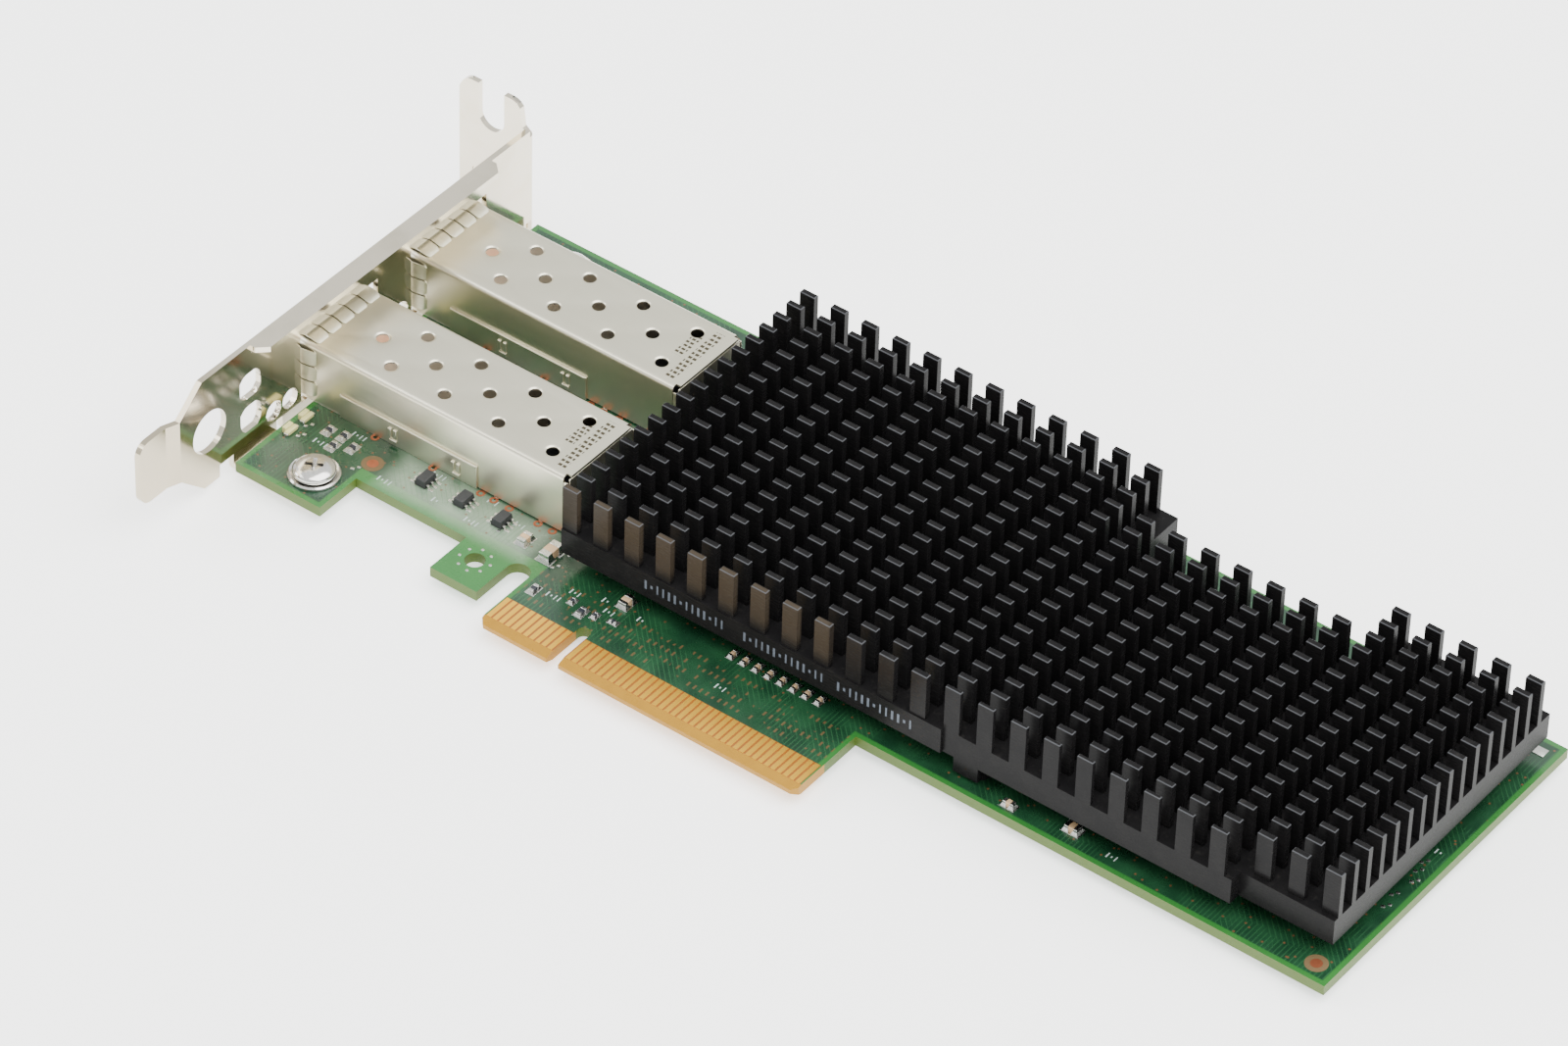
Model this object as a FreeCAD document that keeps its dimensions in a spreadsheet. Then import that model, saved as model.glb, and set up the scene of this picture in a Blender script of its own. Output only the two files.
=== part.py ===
import FreeCAD, Part
import math
import os
import Sketcher
from FreeCAD import Placement, Rotation, Vector

# Two-port network interface card with a low-profile bracket.
# Frame: origin at the centre of the connector's key notch, on the finger edge, at the
# component side of the board. +X runs along the board away from the bracket, +Y from the
# finger edge to the top edge, +Z out of the component side. Millimetres.

doc = FreeCAD.newDocument("NetworkInterfaceCard")
sheet = doc.addObject("Spreadsheet::Sheet", "Sizes")

SIZES = (
    # board outline, measured from the key notch (X) and the finger edge (Y)
    ("board_thickness", 1.57),
    ("board_left", 56.4),
    ("board_length", 167.65),
    ("board_height", 67.65),
    ("front_edge", 12.75),
    ("corner_front", 3.95),
    ("corner_width", 14.4),
    ("recess_front", 11.45),
    ("retention_left", 23.4),
    ("relief_slot_width", 3.5),
    ("relief_slot_end", 12.0),
    # card-edge connector
    ("contact_pitch", 1.0),
    ("contact_width", 0.7),
    ("contact_end", 5.6),
    ("contact_thickness", 0.05),
    ("tongue_margin", 0.65),
    ("tongue_corner", 0.8),
    ("key_width", 1.9),
    ("key_depth", 7.5),
    ("bevel_length", 1.3),
    ("bevel_drop", 0.45),
    ("retention_hole_diameter", 2.8),
    ("retention_hole_inset", 3.7),
    ("retention_hole_height", 4.7),
    # bracket
    ("bracket_gap", 1.2),
    ("bracket_sheet", 0.86),
    ("bracket_width", 18.42),
    ("bracket_drop", 1.95),
    ("bracket_seat", 67.4),
    ("bracket_height", 80.0),
    ("bend_radius", 0.5),
    ("shoulder_start", 0.9),
    ("shoulder_run", 4.5),
    ("tongue_width", 10.19),
    ("tongue_jog", 0.75),
    ("jog_run", 2.0),
    ("tongue_tip_radius", 2.0),
    ("tab_reach", 11.43),
    ("tab_width", 21.59),
    ("tab_slot_width", 4.42),
    ("tab_slot_offset", 5.84),
    ("tab_slot_depth", 7.2),
    ("neck_inset", 1.3),
    ("neck_drop", 1.0),
    ("inner_prong_inset", 1.7),
    ("prong_corner", 0.9),
    ("outer_corner_run", 1.1),
    ("outer_corner_drop", 2.0),
    ("tab_hole_diameter", 1.2),
    ("tab_hole_offset", 8.6),
    ("tab_hole_height", 6.25),
    ("flange_start", 9.0),
    ("flange_end", 57.0),
    ("flange_reach", 3.7),
    ("flange_corner", 2.4),
    ("ear_start", 3.4),
    ("ear_width", 10.4),
    ("far_ear_width", 8.4),
    ("ear_reach", 14.0),
    ("ear_relief", 1.2),
    ("ear_relief_height", 2.0),
    ("vent_round_diameter", 6.6),
    ("vent_round_y", 0.4),
    ("vent_round_z", 7.1),
    ("vent_square", 4.2),
    ("vent_square_y", 8.7),
    ("vent_square_z", 4.2),
    ("vent_square_pitch", 5.5),
    ("vent_corner", 0.9),
    ("light_hole_diameter", 3.2),
    ("light_z", 2.05),
    # bracket screws, with captive washers, through the board into the ears
    ("screw_inset", 9.6),
    ("screw_y", 8.6),
    ("far_screw_margin", 5.3),
    ("screw_diameter", 2.9),
    ("screw_head_diameter", 5.9),
    ("screw_head_height", 2.1),
    ("screw_rim_height", 1.1),
    ("screw_top_diameter", 4.3),
    ("screw_end", 0.7),
    ("recess_width", 0.9),
    ("recess_share", 0.8),
    ("recess_depth", 1.2),
    ("washer_diameter", 7.2),
    ("washer_thickness", 0.6),
    ("screw_hole_clearance", 0.15),
    ("thread_clearance", 0.03),
    # port cages
    ("port_y", 26.95),
    ("port_pitch", 23.05),
    ("cage_overhang", 1.75),
    ("cage_length", 46.9),
    ("cage_width", 14.1),
    ("cage_height", 9.8),
    ("cage_sheet", 0.25),
    ("cage_bend", 0.7),
    ("cage_hole_diameter", 2.0),
    ("cage_hole_start", 10.1),
    ("cage_hole_pitch", 9.08),
    ("cage_hole_row", 3.85),
    ("base_wall_height", 3.9),
    ("base_wall_start", 8.6),
    ("base_end", 31.9),
    ("tail_width", 0.7),
    ("tail_end", 0.7),
    ("tail_hole_diameter", 1.0),
    ("shell_tail_first", 35.0),
    ("shell_tail_pitch", 7.4),
    ("base_tail_first", 14.9),
    ("base_tail_pitch", 9.8),
    ("collar_sheet", 0.15),
    ("collar_band", 0.9),
    ("collar_setback", 0.3),
    ("finger_bulge", 0.75),
    ("finger_rise", 1.9),
    ("finger_fall", 5.2),
    ("finger_width", 2.2),
    ("finger_pitch", 2.65),
    ("opening_clearance", 0.1),
    # host connectors inside the cages
    ("host_start", 35.2),
    ("host_length", 9.5),
    ("host_width", 11.2),
    ("host_height", 5.9),
    ("host_slot_width", 9.0),
    ("host_slot_height", 1.5),
    ("host_slot_z", 3.1),
    ("host_slot_depth", 6.0),
    ("host_lead_pitch", 0.8),
    ("host_lead_width", 0.32),
    ("host_lead_length", 1.2),
    ("host_lead_height", 0.25),
    # heatsink: extruded along X, cross-cut, then milled to the board's outline
    ("sink_left", 9.9),
    ("sink_length", 119.4),
    ("sink_front", 14.3),
    ("sink_width", 51.8),
    ("sink_stand", 3.0),
    ("sink_base", 4.0),
    ("fin_height", 7.1),
    ("fin_inset", 0.2),
    ("fin_pitch", 2.97),
    ("fin_thickness", 0.9),
    ("fin_length", 2.4),
    ("column_pitch", 5.087),
    ("front_mill", 0.5),
    ("ledge_mill", 2.45),
    ("ledge_length", 14.1),
    ("notch_mill", 8.5),
    ("notch_end", 94.4),
    ("rear_fin_mill", 2.9),
    ("rear_mill", 1.1),
    ("boss_diameter", 5.0),
    ("boss_inset", 3.6),
    ("near_boss_inset", 5.9),
    ("far_boss_inset", 6.0),
    ("far_boss_rise", 9.7),
    ("sink_screw_reach", 4.6),
    ("sink_screw_diameter", 2.5),
    ("sink_screw_head_diameter", 4.6),
    ("sink_screw_top_diameter", 3.9),
    ("sink_screw_head_height", 1.5),
    # packages on the board
    ("chip_size", 25.0),
    ("chip_x", 20.0),
    ("chip_y", 41.0),
    ("chip_substrate", 1.1),
    ("chip_lid_size", 21.0),
    ("pad_thickness", 0.5),
    ("logic_length", 2.9),
    ("logic_width", 1.6),
    ("logic_height", 1.1),
    ("logic_first", 22.0),
    ("logic_spacing", 6.4),
    ("logic_y", 16.6),
    ("lead_width", 0.4),
    ("lead_reach", 0.6),
    ("lead_height", 0.2),
    ("lead_pitch", 0.95),
    ("memory_length", 4.9),
    ("memory_width", 3.9),
    ("memory_height", 1.6),
    ("memory_pitch", 1.27),
    ("memory_gap", 10.0),
    ("crystal_length", 5.0),
    ("crystal_width", 3.2),
    ("crystal_height", 1.0),
    ("crystal_gap", 6.0),
    ("inductor_size", 6.6),
    ("inductor_height", 2.7),
    ("inductor_gap", 35.0),
    ("inductor_pitch", 10.0),
    ("light_length", 2.6),
    ("light_width", 1.6),
    ("light_height", 1.7),
    ("light_gap", 3.3),
    ("light_inset", 1.6),
    ("coupling_start", 17.6),
    ("coupling_pitch", 2.0),
    ("coupling_inset", 0.9),
    ("coupling_length", 1.5),
    ("coupling_width", 0.55),
    ("coupling_height", 0.45),
    ("terminal_share", 0.3),
)


class Size:
    """A length with the spreadsheet expression that gives it."""

    def __init__(self, value, text):
        self.value = value
        self.text = text

    def combined(self, other, sign, value):
        text = other.text if isinstance(other, Size) else repr(float(other))
        return Size(value, "(%s %s %s)" % (self.text, sign, text))

    def __add__(self, other):
        return self.combined(other, "+", self.value + number(other))

    def __sub__(self, other):
        return self.combined(other, "-", self.value - number(other))

    def __mul__(self, factor):
        return self.combined(factor, "*", self.value * number(factor))

    def __truediv__(self, divisor):
        return self.combined(divisor, "/", self.value / number(divisor))

    def __neg__(self):
        return Size(-self.value, "(0 - %s)" % self.text)


def number(size):
    return size.value if isinstance(size, Size) else float(size)


for row, (alias, length) in enumerate(SIZES, start=1):
    sheet.set("A%d" % row, alias)
    sheet.set("B%d" % row, str(length))
    sheet.setAlias("B%d" % row, alias)
doc.recompute()


def size(alias):
    return Size(float(sheet.get(alias)), "Sizes." + alias)


ZERO = size("board_thickness") * 0.0


# How many sides stand for a circle on small repeated holes and fasteners.
ROUND_SIDES = 10
TAIL_HOLE_SIDES = 8


# ---------------------------------------------------------------- helpers

def new_body(label):
    body = doc.addObject("PartDesign::Body", label)
    body.Label = label
    body.Placement = Placement()
    return body


def origin_plane(body, role):
    for feature in body.Origin.OriginFeatures:
        if feature.Role == role:
            return feature
    raise ValueError(role)


def new_sketch(body, name, role, offset=ZERO):
    """A sketch on one of the body's own planes, moved along the plane's normal."""
    sketch = body.newObject("Sketcher::SketchObject", name)
    sketch.AttachmentSupport = (origin_plane(body, role), [""])
    sketch.MapMode = "FlatFace"
    sketch.setExpression("AttachmentOffset.Base.z", offset.text)
    return sketch


def held_at(geometry, point, across, up):
    """Constraints that hold one point of a sketch at sizes from its origin."""
    return [(Sketcher.Constraint(kind, -1, 1, geometry, point, place.value), place.text)
            for kind, place in (("DistanceX", across), ("DistanceY", up))]


def constrain(sketch, held):
    """Add constraints together, and bind each one that has an expression."""
    indexes = sketch.addConstraint([constraint for constraint, text in held])
    for index, (constraint, text) in zip(indexes, held):
        if text:
            sketch.setExpression("Constraints[%d]" % index, text)


def draw_outline(sketch, corners):
    """A closed outline of straight lines through corners given as pairs of sizes."""
    points = [Vector(across.value, up.value, 0) for across, up in corners]
    first = sketch.GeometryCount
    sketch.addGeometry([Part.LineSegment(start, end)
                        for start, end in zip(points, points[1:] + points[:1])], False)
    held = []
    for step, (across, up) in enumerate(corners):
        previous = first + (step - 1) % len(corners)
        held.append((Sketcher.Constraint("Coincident", previous, 2, first + step, 1), ""))
        held.extend(held_at(first + step, 1, across, up))
    constrain(sketch, held)


def draw_box(sketch, left, bottom, right, top):
    draw_outline(sketch, [(left, bottom), (right, bottom), (right, top), (left, top)])


def draw_circle(sketch, across, up, diameter):
    centre = Vector(across.value, up.value, 0)
    circle = Part.Circle(centre, Vector(0, 0, 1), diameter.value / 2)
    geometry = sketch.addGeometry(circle, False)
    held = held_at(geometry, 3, across, up)
    held.append((Sketcher.Constraint("Diameter", geometry, diameter.value), diameter.text))
    constrain(sketch, held)


def ring_corners(across, up, level, diameter, sides):
    """The corners of a regular polygon, which stands for a circle where many repeat."""
    corners = []
    for step in range(sides):
        turn = 2 * math.pi * step / sides
        corners.append(Vector(number(across) + number(diameter) / 2 * math.cos(turn),
                              number(up) + number(diameter) / 2 * math.sin(turn),
                              number(level)))
    return corners


def draw_many_sided(sketch, places, diameter, sides):
    """Round holes or posts with few faces, each line held where the sizes put it."""
    for across, up in places:
        first = sketch.GeometryCount
        corners = ring_corners(across, up, ZERO, diameter, sides)
        sketch.addGeometry([Part.LineSegment(start, end)
                            for start, end in zip(corners, corners[1:] + corners[:1])], False)
        sketch.addConstraint([Sketcher.Constraint("Block", first + step)
                              for step in range(sides)])


def add_pad(body, name, sketch, length, reverse=False):
    pad = body.newObject("PartDesign::Pad", name)
    pad.Profile = sketch
    pad.setExpression("Length", length.text)
    pad.Reversed = reverse
    doc.recompute()
    return pad


def add_pocket(body, name, sketch, depth, reverse=False):
    """Cut a sketch out of the body, and make sure that it takes material away."""
    before = body.Shape.Volume
    pocket = body.newObject("PartDesign::Pocket", name)
    pocket.Profile = sketch
    pocket.setExpression("Length", depth.text)
    pocket.Reversed = reverse
    doc.recompute()
    if body.Shape.Volume >= before:
        raise ValueError(name + " cuts nothing")
    return pocket


def add_row(body, name, features, role, pitch, count):
    """Repeat features along one of the body's axes."""
    row_pattern = body.newObject("PartDesign::LinearPattern", name)
    row_pattern.Originals = features
    row_pattern.Direction = (origin_plane(body, role), [""])
    row_pattern.Mode = "Spacing"
    row_pattern.setExpression("Offset", pitch.text)
    row_pattern.Occurrences = count
    body.Tip = row_pattern
    doc.recompute()
    return row_pattern


def add_fillet(body, name, radius, wanted):
    """Round the edges of the body that a test on an edge picks out."""
    base = body.Tip
    picked = []
    for index, edge in enumerate(base.Shape.Edges, start=1):
        if wanted(edge):
            picked.append("Edge%d" % index)
    if not picked:
        raise ValueError(name + " finds no edge")
    fillet = body.newObject("PartDesign::Fillet", name)
    fillet.Base = (base, picked)
    fillet.setExpression("Radius", radius.text)
    doc.recompute()
    return fillet


def straight_edge(edge, axis, length):
    """Whether an edge runs along an axis (0, 1 or 2) for at least a length."""
    box = edge.BoundBox
    spans = (box.XLength, box.YLength, box.ZLength)
    across = [span for place, span in enumerate(spans) if place != axis]
    return spans[axis] >= length and max(across) < 1e-6


def near(value, place):
    return abs(value - number(place)) < 1e-4


def block(left, front, bottom, length, width, height):
    """A solid box from plain numbers or sizes."""
    corner = Vector(number(left), number(front), number(bottom))
    return Part.makeBox(number(length), number(width), number(height), corner)


def ring(across, along, level, diameter):
    corners = ring_corners(across, along, level, diameter, ROUND_SIDES)
    return Part.makePolygon(corners + corners[:1])


def post(across, along, bottom, diameter, height):
    """An upright post of a small fastener, many-sided to keep its mesh light."""
    face = Part.Face(ring(across, along, bottom, diameter))
    return face.extrude(Vector(0, 0, number(height)))


def tapered_post(across, along, bottom, diameter, top_diameter, height):
    rings = [ring(across, along, bottom, diameter),
             ring(across, along, number(bottom) + number(height), top_diameter)]
    return Part.makeLoft(rings, True, True)


def add_solids(label, solids, offset=Vector()):
    """One sub-part made of several separate solids of a kind."""
    feature = doc.addObject("Part::Feature", label)
    feature.Label = label
    feature.Shape = Part.makeCompound(solids) if len(solids) > 1 else solids[0]
    feature.Placement = Placement(offset, Rotation())
    return feature


# ---------------------------------------------------------------- shared places

BOARD_BOTTOM = -size("board_thickness")
BOARD_LEFT = -size("board_left")
BOARD_RIGHT = BOARD_LEFT + size("board_length")
FRONT_CONTACTS = 11
REAR_CONTACTS = 38
FIRST_GAP = size("contact_pitch") * 1.5
TONGUE_LEFT = -(FIRST_GAP + size("contact_pitch") * (FRONT_CONTACTS - 1) + size("tongue_margin"))
TONGUE_RIGHT = FIRST_GAP + size("contact_pitch") * (REAR_CONTACTS - 1) + size("tongue_margin")
RETENTION_LEFT = -size("retention_left")
RETENTION_RIGHT = TONGUE_LEFT - size("relief_slot_width")
RETENTION_HOLE = (RETENTION_LEFT + size("retention_hole_inset"),
                  size("corner_front") + size("retention_hole_height"))
CORNER_RIGHT = BOARD_LEFT + size("corner_width")

BRACKET_INNER = BOARD_LEFT - size("bracket_gap")
BRACKET_OUTER = BRACKET_INNER - size("bracket_sheet")
BRACKET_LOW = -size("bracket_drop")
BRACKET_HIGH = BRACKET_LOW + size("bracket_width")
BRACKET_MIDDLE = BRACKET_LOW + size("bracket_width") / 2
BRACKET_TIP = size("bracket_seat") - size("bracket_height")
EAR_LOW = BOARD_BOTTOM - size("bracket_sheet")
EAR_END = BRACKET_INNER + size("ear_reach")
NEAR_EAR = (size("ear_start"), size("ear_start") + size("ear_width"))
FAR_SCREW_Y = size("board_height") - size("far_screw_margin")
FAR_EAR = (FAR_SCREW_Y - size("far_ear_width") / 2, FAR_SCREW_Y + size("far_ear_width") / 2)
SCREW_X = BOARD_LEFT + size("screw_inset")
SCREW_PLACES = ((SCREW_X, size("screw_y")), (SCREW_X, FAR_SCREW_Y))

CAGE_FRONT = BRACKET_OUTER - size("cage_overhang")
CAGE_REAR = CAGE_FRONT + size("cage_length")
CAGE_HALF = size("cage_width") / 2
PORT_CENTRES = (size("port_y"), size("port_y") + size("port_pitch"))
PORT_NAMES = ("port_1", "port_2")
VENTS_IN_ROW = 4
LEADS_IN_ROW = 10
HOST_FRONT = CAGE_FRONT + size("host_start")
HOST_REAR = HOST_FRONT + size("host_length")
LIGHT_PLACES = [centre - CAGE_HALF - size("light_gap") * rank
                for centre in PORT_CENTRES for rank in (1, 2)]

SINK_LEFT = -size("sink_left")
SINK_RIGHT = SINK_LEFT + size("sink_length")
SINK_FRONT = size("sink_front")
SINK_REAR = SINK_FRONT + size("sink_width")
SINK_BOTTOM = size("sink_stand")
SINK_FLOOR = SINK_BOTTOM + size("sink_base")
FIN_ROWS = 18
FIN_COLUMNS = 24
MILLED_COLUMNS = 12
COUPLING_CAPACITORS = 8
SINK_STEP = SINK_LEFT + size("column_pitch") * MILLED_COLUMNS
NOTCH_RIGHT = SINK_LEFT + size("notch_end")
BOSS_PLACES = (
    (SINK_STEP + size("boss_inset"), SINK_FRONT + size("boss_inset")),
    (SINK_STEP + size("boss_inset"), SINK_REAR - size("notch_mill") - size("boss_inset")),
    (SINK_LEFT + size("near_boss_inset"), SINK_REAR - size("near_boss_inset")),
    (SINK_RIGHT - size("far_boss_inset"), SINK_FRONT + size("far_boss_rise")),
)


# ---------------------------------------------------------------- circuit board

def tail_places():
    """Where the cages' tails go through the board, with the port each belongs to."""
    places = []
    for centre in PORT_CENTRES:
        for side in (-1, 1):
            shell_wall = centre + (CAGE_HALF - size("cage_sheet") / 2) * side
            base_wall = centre + (CAGE_HALF + size("cage_sheet") / 2) * side
            for step in (0, 1):
                shell_x = CAGE_FRONT + size("shell_tail_first") + size("shell_tail_pitch") * step
                base_x = CAGE_FRONT + size("base_tail_first") + size("base_tail_pitch") * step
                places.append((shell_x, shell_wall))
                places.append((base_x, base_wall))
    return places


def build_circuit_board():
    body = new_body("circuit_board")
    outline = new_sketch(body, "board_outline", "XY_Plane")
    slot_radius = size("relief_slot_width") / 2
    slot_y = size("relief_slot_end") - slot_radius
    key_half = size("key_width") / 2
    key_y = size("key_depth") - key_half
    corner = size("tongue_corner")
    draw_outline(outline, [
        (BOARD_LEFT, size("corner_front")),
        (CORNER_RIGHT, size("corner_front")),
        (CORNER_RIGHT, size("recess_front")),
        (RETENTION_LEFT, size("recess_front")),
        (RETENTION_LEFT, size("corner_front")),
        (RETENTION_RIGHT, size("corner_front")),
        (RETENTION_RIGHT, slot_y),
        (TONGUE_LEFT, slot_y),
        (TONGUE_LEFT, corner),
        (TONGUE_LEFT + corner, ZERO),
        (-key_half, ZERO),
        (-key_half, key_y),
        (key_half, key_y),
        (key_half, ZERO),
        (TONGUE_RIGHT - corner, ZERO),
        (TONGUE_RIGHT, corner),
        (TONGUE_RIGHT, size("front_edge")),
        (BOARD_RIGHT, size("front_edge")),
        (BOARD_RIGHT, size("board_height")),
        (BOARD_LEFT, size("board_height")),
    ])
    add_pad(body, "board_sheet", outline, size("board_thickness"), reverse=True)

    ends = new_sketch(body, "slot_ends", "XY_Plane")
    draw_circle(ends, TONGUE_LEFT - slot_radius, slot_y, size("relief_slot_width"))
    draw_circle(ends, ZERO, key_y, size("key_width"))
    add_pocket(body, "round_slot_ends", ends, size("board_thickness"))

    holes = new_sketch(body, "board_holes", "XY_Plane")
    draw_circle(holes, RETENTION_HOLE[0], RETENTION_HOLE[1], size("retention_hole_diameter"))
    add_pocket(body, "retention_hole", holes, size("board_thickness"))
    drill_board(body)

    for name, level, way in (("front_bevel", ZERO, -1), ("back_bevel", BOARD_BOTTOM, 1)):
        bevel = new_sketch(body, name + "_profile", "YZ_Plane", TONGUE_LEFT)
        draw_outline(bevel, [
            (ZERO, level),
            (size("bevel_length"), level),
            (ZERO, level + size("bevel_drop") * way),
        ])
        add_pocket(body, name, bevel, TONGUE_RIGHT - TONGUE_LEFT, reverse=True)


def drill_board(body):
    """Holes for the bracket's screws, the heatsink's screws and the cages' tails."""
    drilled = new_sketch(body, "drilled_outlines", "XY_Plane")
    play = size("screw_hole_clearance") * 2
    draw_many_sided(drilled, SCREW_PLACES, size("screw_diameter") + play, ROUND_SIDES)
    draw_many_sided(drilled, BOSS_PLACES, size("sink_screw_diameter") + play, ROUND_SIDES)
    draw_many_sided(drilled, tail_places(), size("tail_hole_diameter"), TAIL_HOLE_SIDES)
    add_pocket(body, "drilled_holes", drilled, size("board_thickness"))


def build_edge_contacts():
    """One gold contact at each place on each side, from the bevel to the contacts' end."""
    places = []
    for step in range(FRONT_CONTACTS):
        places.append(-(FIRST_GAP + size("contact_pitch") * step))
    for step in range(REAR_CONTACTS):
        places.append(FIRST_GAP + size("contact_pitch") * step)
    half = size("contact_width") / 2
    length = size("contact_end") - size("bevel_length")
    thickness = size("contact_thickness")
    sides = (("edge_contacts_component_side", ZERO),
             ("edge_contacts_solder_side", BOARD_BOTTOM - thickness))
    for label, bottom in sides:
        contacts = []
        for middle in places:
            contacts.append(block(middle - half, size("bevel_length"), bottom,
                                  size("contact_width"), length, thickness))
        add_solids(label, contacts)


# ---------------------------------------------------------------- bracket

def build_bracket():
    body = new_body("mounting_bracket")
    build_bracket_plate(body)
    build_bracket_tongue(body)
    build_bracket_tab(body)
    build_bracket_flange(body)
    build_bracket_ears(body)
    cut_bracket_openings(body)
    round_bracket_bends(body)


def build_bracket_plate(body):
    """The flat face behind the ports, with its shoulders down to the tongue."""
    plate = new_sketch(body, "plate_outline", "YZ_Plane", BRACKET_OUTER)
    half = size("tongue_width") / 2
    shoulder = -size("shoulder_start")
    root = shoulder - size("shoulder_run")
    draw_outline(plate, [
        (root, BRACKET_MIDDLE - half),
        (shoulder, BRACKET_LOW),
        (size("bracket_seat"), BRACKET_LOW),
        (size("bracket_seat"), BRACKET_HIGH),
        (shoulder, BRACKET_HIGH),
        (root, BRACKET_MIDDLE + half),
    ])
    add_pad(body, "plate", plate, size("bracket_sheet"))


def build_bracket_tongue(body):
    """The narrow tongue, jogged outwards by less than its own thickness."""
    half = size("tongue_width") / 2
    root = -(size("shoulder_start") + size("shoulder_run"))
    bend = root - size("jog_run")
    jog = size("tongue_jog")
    side = new_sketch(body, "tongue_side", "XY_Plane", BRACKET_MIDDLE - half)
    draw_outline(side, [
        (BRACKET_OUTER, root),
        (BRACKET_INNER, root),
        (BRACKET_INNER - jog, bend),
        (BRACKET_INNER - jog, BRACKET_TIP),
        (BRACKET_OUTER - jog, BRACKET_TIP),
        (BRACKET_OUTER - jog, bend),
    ])
    add_pad(body, "tongue", side, size("tongue_width"))

    def tip_corner(edge):
        at_tip = near(edge.BoundBox.YMin, BRACKET_TIP)
        return at_tip and straight_edge(edge, 0, size("bracket_sheet").value / 2)

    add_fillet(body, "tongue_tip", size("tongue_tip_radius"), tip_corner)


def build_bracket_tab(body):
    """The tab that is screwed to the chassis, with its open slot, a nick and a small hole."""
    outer = BRACKET_OUTER - size("tab_reach")
    top = BRACKET_LOW + size("tab_width")
    neck = BRACKET_INNER - size("neck_inset")
    prong = BRACKET_INNER - size("inner_prong_inset")
    corner = size("prong_corner")
    seat = -size("bracket_seat")
    tab = new_sketch(body, "tab_outline", "XZ_Plane", seat)
    draw_outline(tab, [
        (outer, BRACKET_LOW),
        (BRACKET_INNER, BRACKET_LOW),
        (BRACKET_INNER, BRACKET_HIGH - size("neck_drop")),
        (neck, BRACKET_HIGH),
        (prong, top - corner),
        (prong - corner, top),
        (outer + size("outer_corner_run"), top),
        (outer, top - size("outer_corner_drop")),
    ])
    add_pad(body, "tab", tab, size("bracket_sheet"), reverse=True)
    slot_x = BRACKET_OUTER - size("tab_slot_offset")
    half = size("tab_slot_width") / 2
    slot_bottom = top - size("tab_slot_depth") + half
    slot = new_sketch(body, "tab_slot_outline", "XZ_Plane", seat)
    draw_box(slot, slot_x - half, slot_bottom, slot_x + half, top + half)
    add_pocket(body, "tab_slot", slot, size("bracket_sheet"))
    rounds = new_sketch(body, "tab_round_outline", "XZ_Plane", seat)
    draw_circle(rounds, slot_x, slot_bottom, size("tab_slot_width"))
    draw_circle(rounds, BRACKET_OUTER - size("tab_hole_offset"),
                BRACKET_LOW + size("tab_hole_height"), size("tab_hole_diameter"))
    add_pocket(body, "tab_round_cuts", rounds, size("bracket_sheet"))


def build_bracket_flange(body):
    """The stiffening flange, folded inwards along the plate's upper edge."""
    reach = BRACKET_INNER + size("flange_reach")
    corner = size("flange_corner")
    flange = new_sketch(body, "flange_outline", "XY_Plane", BRACKET_HIGH)
    draw_outline(flange, [
        (BRACKET_INNER, size("flange_start")),
        (reach - corner, size("flange_start")),
        (reach, size("flange_start") + corner),
        (reach, size("flange_end") - corner),
        (reach - corner, size("flange_end")),
        (BRACKET_INNER, size("flange_end")),
    ])
    add_pad(body, "flange", flange, size("bracket_sheet"), reverse=True)


def build_bracket_ears(body):
    """Two ears under the board, folded from the plate's lower edge, with reliefs beside them."""
    relief = size("ear_relief")
    cuts = new_sketch(body, "ear_reliefs", "YZ_Plane", BRACKET_OUTER)
    top = BRACKET_LOW + size("ear_relief_height")
    for start, end in (NEAR_EAR, FAR_EAR):
        draw_box(cuts, start - relief, BRACKET_LOW - relief, start, top)
        draw_box(cuts, end, BRACKET_LOW - relief, end + relief, top)
    add_pocket(body, "ear_relief_cuts", cuts, size("bracket_sheet"), reverse=True)
    ears = new_sketch(body, "ear_outlines", "XY_Plane", EAR_LOW)
    drops = new_sketch(body, "ear_roots", "XY_Plane", EAR_LOW)
    for start, end in (NEAR_EAR, FAR_EAR):
        draw_box(ears, BRACKET_OUTER, start, EAR_END, end)
        draw_box(drops, BRACKET_OUTER, start, BRACKET_INNER, end)
    add_pad(body, "ears", ears, size("bracket_sheet"))
    add_pad(body, "ear_bends", drops, BRACKET_LOW + size("bracket_sheet") - EAR_LOW)
    thread = size("screw_diameter") + size("thread_clearance") * 2
    threads = new_sketch(body, "ear_thread_outlines", "XY_Plane", BOARD_BOTTOM)
    draw_many_sided(threads, SCREW_PLACES, thread, ROUND_SIDES)
    add_pocket(body, "ear_threads", threads, size("bracket_sheet"))


def port_opening_margin():
    return size("finger_bulge") + size("collar_sheet") + size("opening_clearance")


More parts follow.
